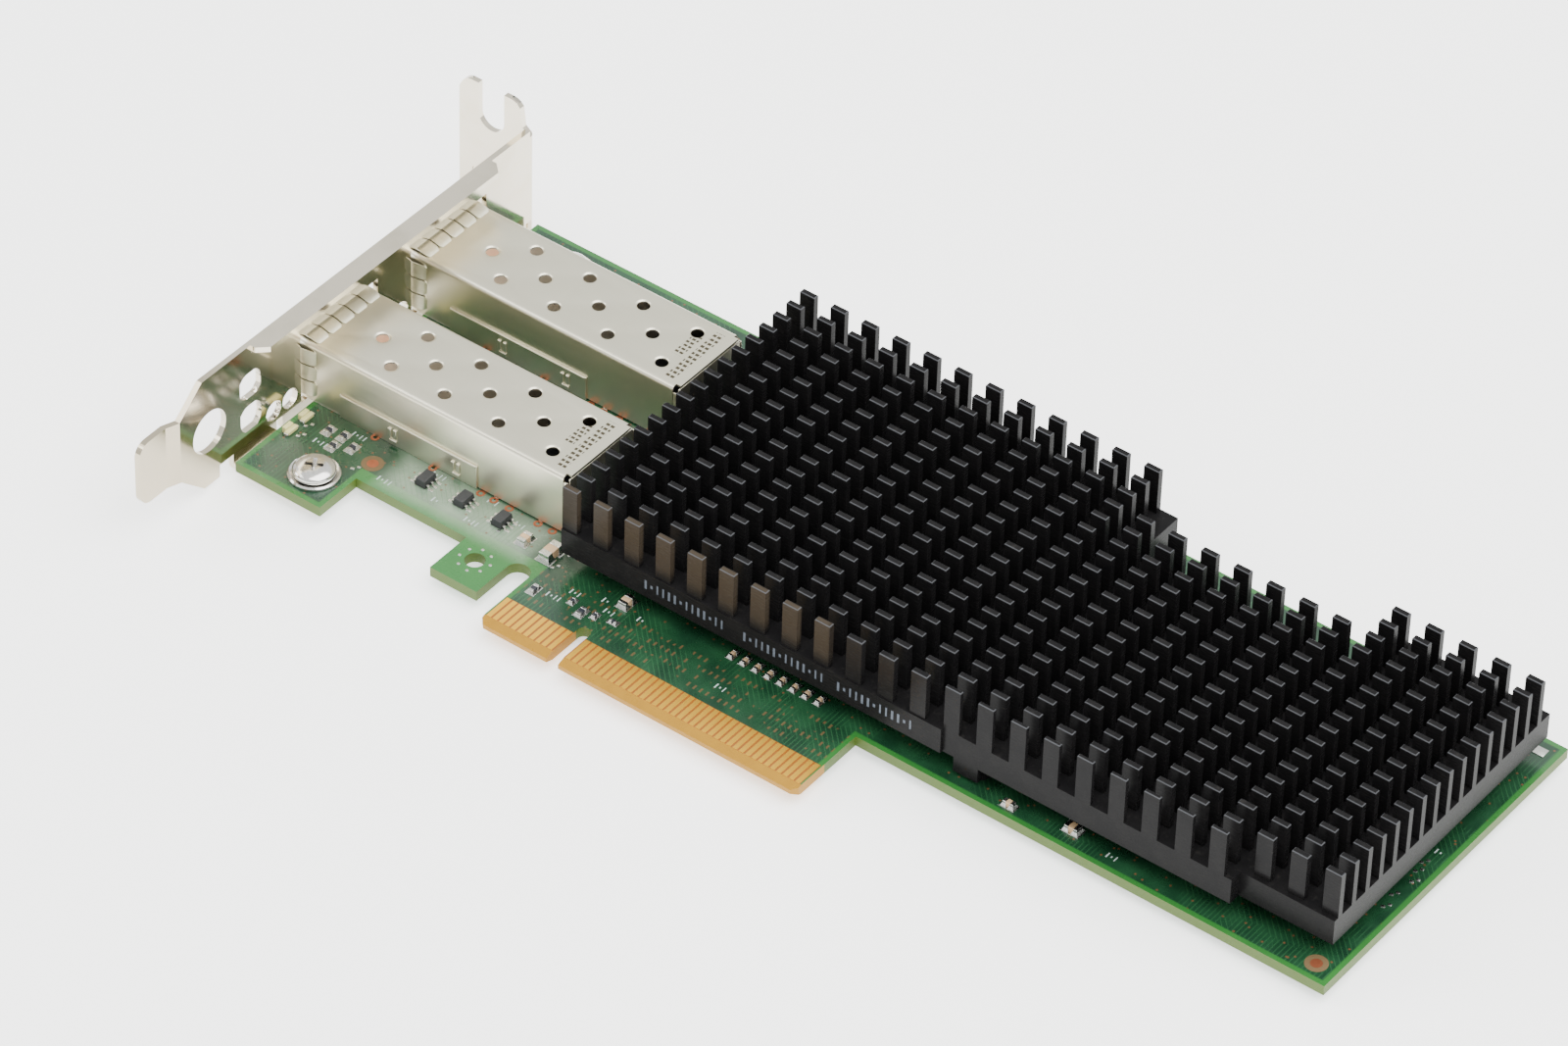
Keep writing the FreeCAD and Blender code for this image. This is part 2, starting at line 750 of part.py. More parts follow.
def cut_bracket_openings(body):
    """Openings for the cages, the vents and the link lights."""
    margin = port_opening_margin()
    half = CAGE_HALF + margin
    ports = new_sketch(body, "port_openings", "YZ_Plane", BRACKET_OUTER)
    for centre in PORT_CENTRES:
        draw_box(ports, centre - half, -size("collar_sheet") - size("opening_clearance"),
                 centre + half, size("cage_height") + margin)
    add_pocket(body, "port_cuts", ports, size("bracket_sheet"), reverse=True)

    rounds = new_sketch(body, "round_openings", "YZ_Plane", BRACKET_OUTER)
    draw_circle(rounds, size("vent_round_y"), size("vent_round_z"), size("vent_round_diameter"))
    add_pocket(body, "round_vent", rounds, size("bracket_sheet"), reverse=True)
    lights = new_sketch(body, "light_hole_outlines", "YZ_Plane", BRACKET_OUTER)
    draw_many_sided(lights, [(along, size("light_z")) for along in LIGHT_PLACES],
                    size("light_hole_diameter"), ROUND_SIDES)
    add_pocket(body, "light_holes", lights, size("bracket_sheet"), reverse=True)

    squares = new_sketch(body, "square_vents", "YZ_Plane", BRACKET_OUTER)
    half = size("vent_square") / 2
    inner = half - size("vent_corner")
    for step in (0, 1):
        across = size("vent_square_y")
        up = size("vent_square_z") + size("vent_square_pitch") * step
        draw_outline(squares, [
            (across - half, up - inner), (across - inner, up - half),
            (across + inner, up - half), (across + half, up - inner),
            (across + half, up + inner), (across + inner, up + half),
            (across - inner, up + half), (across - half, up + inner),
        ])
    add_pocket(body, "square_cuts", squares, size("bracket_sheet"), reverse=True)


def round_bracket_bends(body):
    """The outer edges of the folds at the tab, the flange and the ears."""
    seat_top = size("bracket_seat") + size("bracket_sheet")

    def outer_bend(edge):
        box = edge.BoundBox
        tab = near(box.YMin, seat_top) and near(box.XMin, BRACKET_INNER)
        if tab and straight_edge(edge, 2, size("bracket_width").value / 2):
            return True
        ear = near(box.ZMin, EAR_LOW) and near(box.XMin, BRACKET_OUTER)
        return ear and straight_edge(edge, 1, size("far_ear_width").value / 2)

    add_fillet(body, "bends", size("bend_radius"), outer_bend)


def build_bracket_screws():
    """Pan-head screws with a cross recess, each with its captive washer."""
    screws = []
    washers = []
    seat = size("washer_thickness")
    shank_length = seat + size("board_thickness") + size("bracket_sheet") + size("screw_end")
    rim = size("screw_rim_height")
    dome = size("screw_head_height") - rim
    top = seat + size("screw_head_height")
    recess_length = size("screw_top_diameter") * size("recess_share").value
    for across, along in SCREW_PLACES:
        shank = post(across, along, seat - shank_length, size("screw_diameter"), shank_length)
        head = post(across, along, seat, size("screw_head_diameter"), rim)
        head = head.fuse(tapered_post(across, along, seat + rim, size("screw_head_diameter"),
                                      size("screw_top_diameter"), dome))
        for length, breadth in ((recess_length, size("recess_width")),
                                (size("recess_width"), recess_length)):
            head = head.cut(block(across - length / 2, along - breadth / 2,
                                  top - size("recess_depth"), length, breadth,
                                  size("recess_depth")))
        screws.append(shank.fuse(head).removeSplitter())
        disc = post(across, along, 0, size("washer_diameter"), seat)
        bore = post(across, along, 0, size("screw_diameter") + size("thread_clearance") * 2, seat)
        washers.append(disc.cut(bore))
    add_solids("bracket_screws", screws)
    add_solids("bracket_screw_washers", washers)


# ---------------------------------------------------------------- port cages

def build_cage_shell(name, centre):
    """The folded upper sheet: top, two sides and the rear wall, with vents and tails."""
    body = new_body(name + "_cage_shell")
    sheet_size = size("cage_sheet")
    inner = CAGE_HALF - sheet_size
    under_top = size("cage_height") - sheet_size
    section = new_sketch(body, name + "_shell_section", "YZ_Plane", CAGE_FRONT)
    draw_outline(section, [
        (-CAGE_HALF, sheet_size),
        (-inner, sheet_size),
        (-inner, under_top),
        (inner, under_top),
        (inner, sheet_size),
        (CAGE_HALF, sheet_size),
        (CAGE_HALF, size("cage_height")),
        (-CAGE_HALF, size("cage_height")),
    ])
    add_pad(body, name + "_shell_channel", section, size("cage_length"))
    rear = new_sketch(body, name + "_rear_outline", "YZ_Plane", CAGE_REAR - sheet_size)
    draw_box(rear, -inner, sheet_size, inner, under_top)
    add_pad(body, name + "_rear_wall", rear, sheet_size)

    def long_bend(edge):
        at_side = near(abs(edge.BoundBox.YMin), CAGE_HALF)
        at_top = near(edge.BoundBox.ZMin, size("cage_height"))
        return at_side and at_top and straight_edge(edge, 0, size("cage_length").value / 2)

    add_fillet(body, name + "_shell_bends", size("cage_bend"), long_bend)
    inline = CAGE_FRONT + size("cage_hole_start")
    between = inline + size("cage_hole_pitch") / 2
    vents = new_sketch(body, name + "_vent_outlines", "XY_Plane", size("cage_height"))
    draw_many_sided(vents, ((inline, ZERO), (between, size("cage_hole_row")),
                            (between, -size("cage_hole_row"))),
                    size("cage_hole_diameter"), ROUND_SIDES)
    vent = add_pocket(body, name + "_vents", vents, sheet_size)
    add_row(body, name + "_vent_rows", [vent], "X_Axis", size("cage_hole_pitch"), VENTS_IN_ROW)

    tails = new_sketch(body, name + "_shell_tail_outline", "XY_Plane", sheet_size)
    half = size("tail_width") / 2
    for side in (-1, 1):
        wall = (CAGE_HALF - sheet_size / 2) * side
        for step in (0, 1):
            middle = CAGE_FRONT + size("shell_tail_first") + size("shell_tail_pitch") * step
            draw_box(tails, middle - half, wall - sheet_size / 2, middle + half,
                     wall + sheet_size / 2)
    reach = sheet_size + size("board_thickness") + size("tail_end")
    add_pad(body, name + "_shell_tails", tails, reach, reverse=True)
    body.setExpression("Placement.Base.y", centre.text)


def build_cage_base(name, centre):
    """The lower sheet: a floor under the module and a low wall outside each of the shell's."""
    body = new_body(name + "_cage_base")
    sheet_size = size("cage_sheet")
    floor = new_sketch(body, name + "_floor_outline", "XY_Plane")
    wall_start = CAGE_FRONT + size("base_wall_start")
    end = CAGE_FRONT + size("base_end")
    outer = CAGE_HALF + sheet_size
    draw_outline(floor, [
        (CAGE_FRONT, -CAGE_HALF),
        (wall_start, -CAGE_HALF),
        (wall_start, -outer),
        (end, -outer),
        (end, outer),
        (wall_start, outer),
        (wall_start, CAGE_HALF),
        (CAGE_FRONT, CAGE_HALF),
    ])
    add_pad(body, name + "_floor", floor, sheet_size)
    walls = new_sketch(body, name + "_wall_outlines", "XY_Plane")
    tails = new_sketch(body, name + "_base_tail_outline", "XY_Plane")
    half = size("tail_width") / 2
    for side in (-1, 1):
        low = (CAGE_HALF + sheet_size / 2) * side - sheet_size / 2
        high = low + sheet_size
        draw_box(walls, wall_start, low, end, high)
        for step in (0, 1):
            middle = CAGE_FRONT + size("base_tail_first") + size("base_tail_pitch") * step
            draw_box(tails, middle - half, low, middle + half, high)
    add_pad(body, name + "_walls", walls, size("base_wall_height"))
    latch = new_sketch(body, name + "_latch_outline", "XY_Plane")
    draw_box(latch, CAGE_FRONT + size("tail_width"), -size("finger_width") / 2,
             CAGE_FRONT + size("finger_fall") / 2, size("finger_width") / 2)
    add_pocket(body, name + "_latch_window", latch, sheet_size, reverse=True)
    reach = size("board_thickness") + size("tail_end")
    add_pad(body, name + "_base_tails", tails, reach, reverse=True)
    body.setExpression("Placement.Base.y", centre.text)


def spring_finger(position, side):
    """One finger of the collar: bowed along the cage, on its top, left or right side."""
    start = CAGE_FRONT + size("collar_setback") + size("collar_band")
    peak = start + size("finger_rise")
    end = peak + size("finger_fall")
    thickness = size("collar_sheet")
    bulge = size("finger_bulge")
    profile = [
        (start, ZERO), (start, thickness),
        (peak, bulge + thickness), (end, thickness),
        (end, ZERO), (peak, bulge),
    ]
    half = size("finger_width").value / 2
    corners = []
    for along, out in profile:
        if side == "top":
            height = size("cage_height") + out
            corners.append(Vector(along.value, position - half, height.value))
        else:
            way = -1 if side == "left" else 1
            wall = (CAGE_HALF + out) * way
            corners.append(Vector(along.value, wall.value, position - half))
    face = Part.Face(Part.makePolygon(corners + corners[:1]))
    travel = Vector(0, 2 * half, 0) if side == "top" else Vector(0, 0, 2 * half)
    return face.extrude(travel)


def build_spring_collar(name, centre):
    """The band round the cage's mouth, with fingers that press on the bracket's opening."""
    thickness = size("collar_sheet")
    start = CAGE_FRONT + size("collar_setback")
    width = size("cage_width") + thickness * 2
    height = size("cage_height") + thickness * 2
    outer = block(start, -width / 2, -thickness, size("collar_band"), width, height)
    inner = block(start, -CAGE_HALF, ZERO, size("collar_band"), size("cage_width"),
                  size("cage_height"))
    collar = outer.cut(inner)
    for step in range(-2, 3):
        collar = collar.fuse(spring_finger(size("finger_pitch").value * step, "top"))
    middle = size("cage_height").value / 2
    for side in ("left", "right"):
        for step in range(-1, 2):
            position = middle + size("finger_pitch").value * step
            collar = collar.fuse(spring_finger(position, side))
    place = Vector(0, centre.value, 0)
    add_solids(name + "_spring_collar", [collar.removeSplitter()], place)


def build_host_connector(name, centre):
    """The moulded connector at the back of a cage, and its two rows of leads."""
    body = new_body(name + "_connector_housing")
    half = size("host_width") / 2
    housing = new_sketch(body, name + "_housing_outline", "XY_Plane")
    draw_box(housing, HOST_FRONT, -half, HOST_REAR, half)
    add_pad(body, name + "_housing", housing, size("host_height"))
    slot = new_sketch(body, name + "_card_slot_outline", "YZ_Plane", HOST_FRONT)
    slot_half = size("host_slot_width") / 2
    draw_box(slot, -slot_half, size("host_slot_z"), slot_half,
             size("host_slot_z") + size("host_slot_height"))
    add_pocket(body, name + "_card_slot", slot, size("host_slot_depth"), reverse=True)
    body.setExpression("Placement.Base.y", centre.text)

    leads = []
    length = size("host_lead_length")
    for step in range(LEADS_IN_ROW):
        middle = size("host_lead_pitch") * (step - (LEADS_IN_ROW - 1) / 2)
        along = middle - size("host_lead_width") / 2
        for start in (HOST_FRONT - length, HOST_REAR):
            leads.append(block(start, along, 0, length, size("host_lead_width"),
                               size("host_lead_height")))
    add_solids(name + "_connector_leads", leads, Vector(0, centre.value, 0))


# ---------------------------------------------------------------- heatsink

def build_heatsink():
    """An extruded comb of long fins, milled to the board's outline and then cross-cut."""
    body = new_body("heatsink")
    base = new_sketch(body, "sink_base_outline", "XY_Plane", SINK_BOTTOM)
    draw_box(base, SINK_LEFT, SINK_FRONT, SINK_RIGHT, SINK_REAR)
    add_pad(body, "sink_base_plate", base, size("sink_base"))
    build_heatsink_bosses(body)

    first = SINK_FRONT + size("fin_inset")
    fin = new_sketch(body, "fin_outline", "XY_Plane", SINK_FLOOR)
    draw_box(fin, SINK_LEFT, first, SINK_RIGHT, first + size("fin_thickness"))
    long_fin = add_pad(body, "long_fin", fin, size("fin_height"))
    add_row(body, "fin_rows", [long_fin], "Y_Axis", size("fin_pitch"), FIN_ROWS)
    mill_heatsink_edges(body)

    gap = new_sketch(body, "cross_cut_outline", "XY_Plane", SINK_FLOOR)
    draw_box(gap, SINK_LEFT + size("fin_length"), SINK_FRONT - size("fin_pitch"),
             SINK_LEFT + size("column_pitch"), SINK_REAR + size("fin_pitch"))
    cut = add_pocket(body, "cross_cut", gap, size("fin_height"), reverse=True)
    add_row(body, "cross_cuts", [cut], "X_Axis", size("column_pitch"), FIN_COLUMNS - 1)


def build_heatsink_bosses(body):
    """Threaded posts that stand on the board."""
    bosses = new_sketch(body, "boss_outlines", "XY_Plane", SINK_BOTTOM)
    draw_many_sided(bosses, BOSS_PLACES, size("boss_diameter"), ROUND_SIDES)
    add_pad(body, "bosses", bosses, size("sink_stand"), reverse=True)
    thread = size("sink_screw_diameter") + size("thread_clearance") * 2
    threads = new_sketch(body, "boss_thread_outlines", "XY_Plane")
    draw_many_sided(threads, BOSS_PLACES, thread, ROUND_SIDES)
    add_pocket(body, "boss_threads", threads, size("sink_screw_reach"), reverse=True)


def mill_heatsink_edges(body):
    """Steps in the front and rear edges, which clear what stands on the board's margins."""
    beyond = size("fin_pitch") * 2
    mill = new_sketch(body, "milled_outline", "XY_Plane", SINK_BOTTOM)
    ledge_start = SINK_RIGHT - size("ledge_length")
    draw_outline(mill, [
        (SINK_STEP, SINK_FRONT - beyond),
        (SINK_RIGHT + beyond, SINK_FRONT - beyond),
        (SINK_RIGHT + beyond, SINK_FRONT + size("ledge_mill")),
        (ledge_start, SINK_FRONT + size("ledge_mill")),
        (ledge_start, SINK_FRONT + size("front_mill")),
        (SINK_STEP, SINK_FRONT + size("front_mill")),
    ])
    draw_outline(mill, [
        (SINK_STEP, SINK_REAR + beyond),
        (SINK_STEP, SINK_REAR - size("notch_mill")),
        (NOTCH_RIGHT, SINK_REAR - size("notch_mill")),
        (NOTCH_RIGHT, SINK_REAR - size("rear_mill")),
        (SINK_RIGHT + beyond, SINK_REAR - size("rear_mill")),
        (SINK_RIGHT + beyond, SINK_REAR + beyond),
    ])
    depth = size("sink_base") + size("fin_height")
    add_pocket(body, "milled_edges", mill, depth, reverse=True)
    trim = new_sketch(body, "rear_fin_trim_outline", "XY_Plane", SINK_FLOOR)
    draw_box(trim, NOTCH_RIGHT, SINK_REAR - size("rear_fin_mill"), SINK_RIGHT + beyond,
             SINK_REAR + beyond)
    add_pocket(body, "rear_fin_trim", trim, size("fin_height"), reverse=True)


def build_heatsink_screws():
    """Screws from the solder side, through the board into the heatsink's bosses."""
    screws = []
    clearance = size("thread_clearance") * 4
    for across, along in BOSS_PLACES:
        length = size("board_thickness") + size("sink_screw_reach") - clearance
        shank = post(across, along, BOARD_BOTTOM, size("sink_screw_diameter"), length)
        head = tapered_post(across, along, BOARD_BOTTOM - size("sink_screw_head_height"),
                            size("sink_screw_top_diameter"), size("sink_screw_head_diameter"),
                            size("sink_screw_head_height"))
        screws.append(shank.fuse(head).removeSplitter())
    add_solids("heatsink_screws", screws)


# ---------------------------------------------------------------- packages on the board

def build_controller():
    """The controller's substrate and lid as one sealed package, and the pad above it."""
    corner = size("chip_size") / 2
    lid = size("chip_lid_size") / 2
    top = SINK_BOTTOM - size("pad_thickness")
    substrate = block(size("chip_x") - corner, size("chip_y") - corner, 0,
                      size("chip_size"), size("chip_size"), size("chip_substrate"))
    cover = block(size("chip_x") - lid, size("chip_y") - lid, size("chip_substrate"),
                  size("chip_lid_size"), size("chip_lid_size"), top - size("chip_substrate"))
    add_solids("controller_chip", [substrate.fuse(cover).removeSplitter()])
    pad = block(size("chip_x") - lid, size("chip_y") - lid, top, size("chip_lid_size"),
                size("chip_lid_size"), size("pad_thickness"))
    add_solids("thermal_pad", [pad])


def leaded_package(across, along, length, width, height, pitch, count):
    """A small moulded body with leads on its two long sides, which run along X."""
    body = block(across - length / 2, along - width / 2, size("lead_height") / 2,
                 length, width, height - size("lead_height") / 2)
    leads = []
    half = size("lead_width") / 2
    for step in range(count):
        middle = across + pitch * (step - (count - 1) / 2)
        for front in (along - width / 2 - size("lead_reach"), along + width / 2):
            leads.append(block(middle - half, front, 0, size("lead_width"),
                               size("lead_reach"), size("lead_height")))
    return body, leads


def build_small_packages():
    bodies = []
    leads = []
    for step in range(3):
        package, package_leads = leaded_package(
            BOARD_LEFT + size("logic_first") + size("logic_spacing") * step, size("logic_y"),
            size("logic_length"), size("logic_width"), size("logic_height"),
            size("lead_pitch"), 3)
        bodies.append(package)
        leads.extend(package_leads)
    add_solids("logic_chips", bodies)
    add_solids("logic_chip_leads", leads)
    memory, memory_leads = leaded_package(
        size("chip_x") - size("chip_size") / 2 - size("memory_gap"), size("chip_y"),
        size("memory_length"), size("memory_width"), size("memory_height"),
        size("memory_pitch"), 4)
    add_solids("memory_chip", [memory])
    add_solids("memory_chip_leads", memory_leads)
    crystal = block(size("chip_x") - size("crystal_length") / 2,
                    size("chip_y") - size("chip_size") / 2 - size("crystal_gap"), 0,
                    size("crystal_length"), size("crystal_width"), size("crystal_height"))
    add_solids("clock_crystal", [crystal])
    inductors = []
    for step in (0, 1):
        left = size("chip_x") + size("inductor_gap") + size("inductor_pitch") * step
        inductors.append(block(left, size("chip_y") - size("inductor_size") / 2, 0,
                               size("inductor_size"), size("inductor_size"),
                               size("inductor_height")))
    add_solids("power_inductors", inductors)


def build_link_lights():
    """Two link lights beside each port, each facing its hole in the bracket."""
    lights = []
    left = BRACKET_INNER + size("light_inset")
    for along in LIGHT_PLACES:
        lights.append(block(left, along - size("light_length") / 2, 0, size("light_width"),
                            size("light_length"), size("light_height")))
    add_solids("link_lights", lights)


# Small chip parts: centre from the key notch and the finger edge, length, width, height, and
# whether the length runs along Y.
CAPACITORS = (
    (-17.0, 15.7, 2.0, 1.25, 0.9, True),
    (-12.6, 15.6, 3.2, 1.6, 1.3, True),
    (0.9, 14.3, 2.0, 1.25, 0.9, True),
    (61.9, 14.6, 1.6, 0.8, 0.8, False),
    (70.8, 16.0, 2.0, 1.25, 0.9, False),
)
RESISTORS = (
    (-50.9, 16.5, 1.6, 0.8, 0.5, True),
    (-48.6, 16.8, 1.6, 0.8, 0.5, True),
    (-48.5, 14.4, 1.6, 0.8, 0.5, True),
    (-46.2, 15.7, 1.6, 0.8, 0.5, True),
    (-10.1, 8.9, 1.6, 0.8, 0.5, True),
    (-4.8, 10.3, 1.0, 0.5, 0.4, True),
    (-2.6, 9.3, 1.6, 0.8, 0.5, True),
    (-0.8, 9.9, 1.0, 0.5, 0.4, True),
    (1.8, 10.4, 1.0, 0.5, 0.4, False),
)


def chip_part(across, along, length, width, height, upright):
    """A rectangular chip part as its body and its two metal ends."""
    end = length * size("terminal_share").value
    pieces = []
    for start, span in ((-length / 2, end), (-length / 2 + end, length - 2 * end),
                        (length / 2 - end, end)):
        if upright:
            piece = block(across - width / 2, along + start, 0, width, span, height)
        else:
            piece = block(across + start, along - width / 2, 0, span, width, height)
        pieces.append(piece)
    return pieces[1], [pieces[0], pieces[2]]


def build_chip_parts():
    coupling = []
    row_y = size("sink_front") + size("coupling_inset")
    for step in range(COUPLING_CAPACITORS):
        across = size("coupling_start") + size("coupling_pitch") * step
        coupling.append((across.value, row_y.value, size("coupling_length").value,
                         size("coupling_width").value, size("coupling_height").value, True))
    kinds = (("capacitor", CAPACITORS + tuple(coupling)), ("resistor", RESISTORS))
    for kind, parts in kinds:
        bodies = []
        ends = []
        for part in parts:
            body, terminals = chip_part(*part)
            bodies.append(body)
            ends.extend(terminals)
        add_solids("chip_%ss" % kind, bodies)
        add_solids("chip_%s_ends" % kind, ends)


# ---------------------------------------------------------------- build, check, write

build_circuit_board()
build_edge_contacts()
build_bracket()
build_bracket_screws()
for port_name, port_centre in zip(PORT_NAMES, PORT_CENTRES):
    build_cage_shell(port_name, port_centre)
    build_cage_base(port_name, port_centre)
    build_spring_collar(port_name, port_centre)
    build_host_connector(port_name, port_centre)
build_heatsink()
build_heatsink_screws()
build_controller()
build_small_packages()
build_link_lights()
build_chip_parts()
doc.recompute()

for item in doc.Objects:
    if "Invalid" in item.State or "Error" in item.State:
        raise ValueError(item.Label + " did not rebuild")

PARTS = [item for item in doc.Objects
         if item.TypeId == "PartDesign::Body" or item.TypeId == "Part::Feature"]
for item in PARTS:
    if item.Shape.isNull() or not item.Shape.isValid() or not item.Shape.Solids:
        raise ValueError(item.Label + " is not a sound shape")

os.makedirs("parts", exist_ok=True)
for item in PARTS:
    item.Shape.exportStep("parts/%s.step" % item.Label)
print("wrote %d sub-parts" % len(PARTS))
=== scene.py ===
import functools
import math

import bmesh
import bpy
from mathutils import Matrix, Vector


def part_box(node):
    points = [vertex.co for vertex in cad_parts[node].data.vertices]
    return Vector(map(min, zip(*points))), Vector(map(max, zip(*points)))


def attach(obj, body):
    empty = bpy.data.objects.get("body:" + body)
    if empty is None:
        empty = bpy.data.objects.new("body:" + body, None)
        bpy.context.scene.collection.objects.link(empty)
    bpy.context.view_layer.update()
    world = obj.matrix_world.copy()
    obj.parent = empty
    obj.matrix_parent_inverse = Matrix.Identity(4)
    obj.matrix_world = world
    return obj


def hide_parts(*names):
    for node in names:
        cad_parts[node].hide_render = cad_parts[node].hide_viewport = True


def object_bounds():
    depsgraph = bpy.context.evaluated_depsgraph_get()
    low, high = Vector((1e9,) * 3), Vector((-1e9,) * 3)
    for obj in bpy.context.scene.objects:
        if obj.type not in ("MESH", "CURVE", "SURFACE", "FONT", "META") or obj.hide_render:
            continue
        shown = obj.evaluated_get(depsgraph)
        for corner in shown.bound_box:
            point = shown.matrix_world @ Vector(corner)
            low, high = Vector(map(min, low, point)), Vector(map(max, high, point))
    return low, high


# Finishes and fine detail of a two-port network interface card. Lengths are in millimetres
# in the card's own frame and become metres as each piece is placed.

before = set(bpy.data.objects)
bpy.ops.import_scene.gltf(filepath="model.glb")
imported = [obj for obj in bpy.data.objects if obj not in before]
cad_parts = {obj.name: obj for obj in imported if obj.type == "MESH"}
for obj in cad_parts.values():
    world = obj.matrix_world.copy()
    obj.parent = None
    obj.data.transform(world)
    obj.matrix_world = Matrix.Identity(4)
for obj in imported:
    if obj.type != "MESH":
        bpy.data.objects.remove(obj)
CAD_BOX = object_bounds()
MM = 0.001


def low(node):
    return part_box(node)[0] / MM


def high(node):
    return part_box(node)[1] / MM


BOARD_LOW, BOARD_HIGH = low("circuit_board"), high("circuit_board")
SINK_LOW, SINK_HIGH = low("heatsink"), high("heatsink")
CAGE_LOW, CAGE_HIGH = low("port_1_cage_shell"), high("port_1_cage_shell")
PORTS = ("port_1", "port_2")


# ------------------------------------------------------------------ shader building

class Value:
    """A number from a shader socket, on which arithmetic adds Math nodes."""

    def __init__(self, finish, socket):
        self.finish = finish
        self.socket = socket

    def math(self, operation, *others):
        inputs = dict(enumerate((self,) + others))
        return self.finish.node("ShaderNodeMath", {"operation": operation}, inputs)[0]

    def __add__(self, other):
        return self.math("ADD", other)

    __radd__ = __add__

    def __mul__(self, other):
        return self.math("MULTIPLY", other)

    __rmul__ = __mul__

    def __sub__(self, other):
        return self.math("SUBTRACT", other)

    def __rsub__(self, other):
        return self * -1 + other

    def __truediv__(self, other):
        return self.math("DIVIDE", other)

    def __gt__(self, other):
        return self.math("GREATER_THAN", other)

    def __lt__(self, other):
        return self.math("LESS_THAN", other)

    def most(self, other):
        return self.math("MAXIMUM", other)

    def least(self, other):
        return self.math("MINIMUM", other)

    def size(self):
        return self.math("ABSOLUTE")

    def bands(self, pitch=1.0):
        """How far it lies from the middle of its band in a row of them, up to half a band."""
        return ((self / pitch).math("FRACT") - 0.5).size()

    def step(self, start, end):
        """0 at start and below, 1 at end and above, with a smooth rise between."""
        settings = {"interpolation_type": "SMOOTHSTEP"}
        return self.finish.node("ShaderNodeMapRange", settings,
                                {"Value": self, "From Min": start, "From Max": end})[0]


# Where a Mix node keeps its share and its two colours, because its sockets' names repeat.
MIX_SHARE, MIX_FIRST, MIX_SECOND = 0, 6, 7


class Finish:
    """A material under construction, with the place on the card in millimetres."""

    def __init__(self, name, roughness=0.5, metallic=0.0, **fixed):
        self.material = bpy.data.materials.new(name)
        self.material.use_nodes = True
        self.tree = self.material.node_tree
        self.shader = self.tree.nodes["Principled BSDF"]
        self.set(Roughness=roughness, Metallic=metallic, **fixed)
        spot = self.node("ShaderNodeTexCoord", {}, {}, "Object")[0]
        self.place = self.node("ShaderNodeVectorMath", {"operation": "SCALE"},
                               {0: spot, "Scale": 1 / MM})[0]
        self.x, self.y, self.z = self.node("ShaderNodeSeparateXYZ", {}, {0: self.place})

    def node(self, kind, settings, inputs, *outputs):
        """Adds a node and returns its outputs, all of them or those named."""
        made = self.tree.nodes.new(kind)
        for key, value in settings.items():
            setattr(made, key, value)
        for key, value in inputs.items():
            self.feed(made.inputs[key], value)
        found = [made.outputs[key] for key in outputs] or \
            [socket for socket in made.outputs if socket.enabled]
        return [Value(self, socket) for socket in found]

    def feed(self, socket, value):
        if isinstance(value, Value):
            self.tree.links.new(value.socket, socket)
        else:
            socket.default_value = value

    def set(self, **inputs):
        """Sets the shader's sockets, whose spaces are written as underscores."""
        for key, value in inputs.items():
            self.feed(self.shader.inputs[key.replace("_", " ")], value)

    def blend(self, first, second, share):
        """A colour between two colours."""
        return self.node("ShaderNodeMix", {"data_type": "RGBA"},
                         {MIX_SHARE: share, MIX_FIRST: first, MIX_SECOND: second})[0]

    def noise(self, scale, detail=3.0, stretch=(1, 1, 1)):
        """Noise with about so many grains a millimetre, drawn out along an axis."""
        spot = self.node("ShaderNodeVectorMath", {"operation": "MULTIPLY"},
                         {0: self.place, 1: stretch})[0]
        return self.node("ShaderNodeTexNoise", {},
                         {"Vector": spot, "Scale": scale, "Detail": detail}, "Fac")[0]

    def within(self, left, right, front, rear, soft=0.12):
        """1 inside a rectangle on the card's plane, 0 outside it."""
        across = (self.x - left).least(right - self.x)
        along = (self.y - front).least(rear - self.y)
        return across.least(along).step(0.0, soft)

    def facing(self):
        """How far the surface faces up or down, from 0 on a side wall to 1 on a level face."""
        normal = self.node("ShaderNodeNewGeometry", {}, {}, "Normal")[0]
        return self.node("ShaderNodeSeparateXYZ", {}, {0: normal})[2].size()

    def bump(self, height, strength, distance=0.05):
        """Raises the surface by a distance in millimetres where the height is 1."""
        normal = self.node("ShaderNodeBump", {},
                           {"Height": height, "Strength": strength, "Distance": distance * MM})
        self.set(Normal=normal[0])


def colour(red, green, blue):
    """A colour given as on a screen, from 0 to 255, made linear."""
    return tuple((part / 255) ** 2.2 for part in (red, green, blue)) + (1.0,)


# ------------------------------------------------------------------ finishes

# The board's outline: its body, the foot beside the bracket and the tongue.
BODY_FRONT = 12.75
FOOT_FRONT, FOOT_WIDTH = 3.95, 14.4
TONGUE_LEFT, TONGUE_RIGHT = -12.2, 39.2
TONGUE_FRONT, CONTACT_REAR = 0.0, 5.75
BARE_BORDER = 0.6


def copper_planes(finish):
    """1 where copper lies under the mask, which ends a bare border short of the outline."""
    left, rear = BOARD_LOW.x + BARE_BORDER, BOARD_HIGH.y - BARE_BORDER
    neck_front, inside, soft = 5.0, 20, 0.3
    body = finish.within(left, BOARD_HIGH.x - BARE_BORDER, BODY_FRONT + BARE_BORDER, rear, soft)
    foot = finish.within(left, BOARD_LOW.x + FOOT_WIDTH - BARE_BORDER,
                         FOOT_FRONT + BARE_BORDER, inside, soft)
    neck = finish.within(TONGUE_LEFT + BARE_BORDER, TONGUE_RIGHT - BARE_BORDER,
                         neck_front, inside, soft)
    return body.most(foot).most(neck)


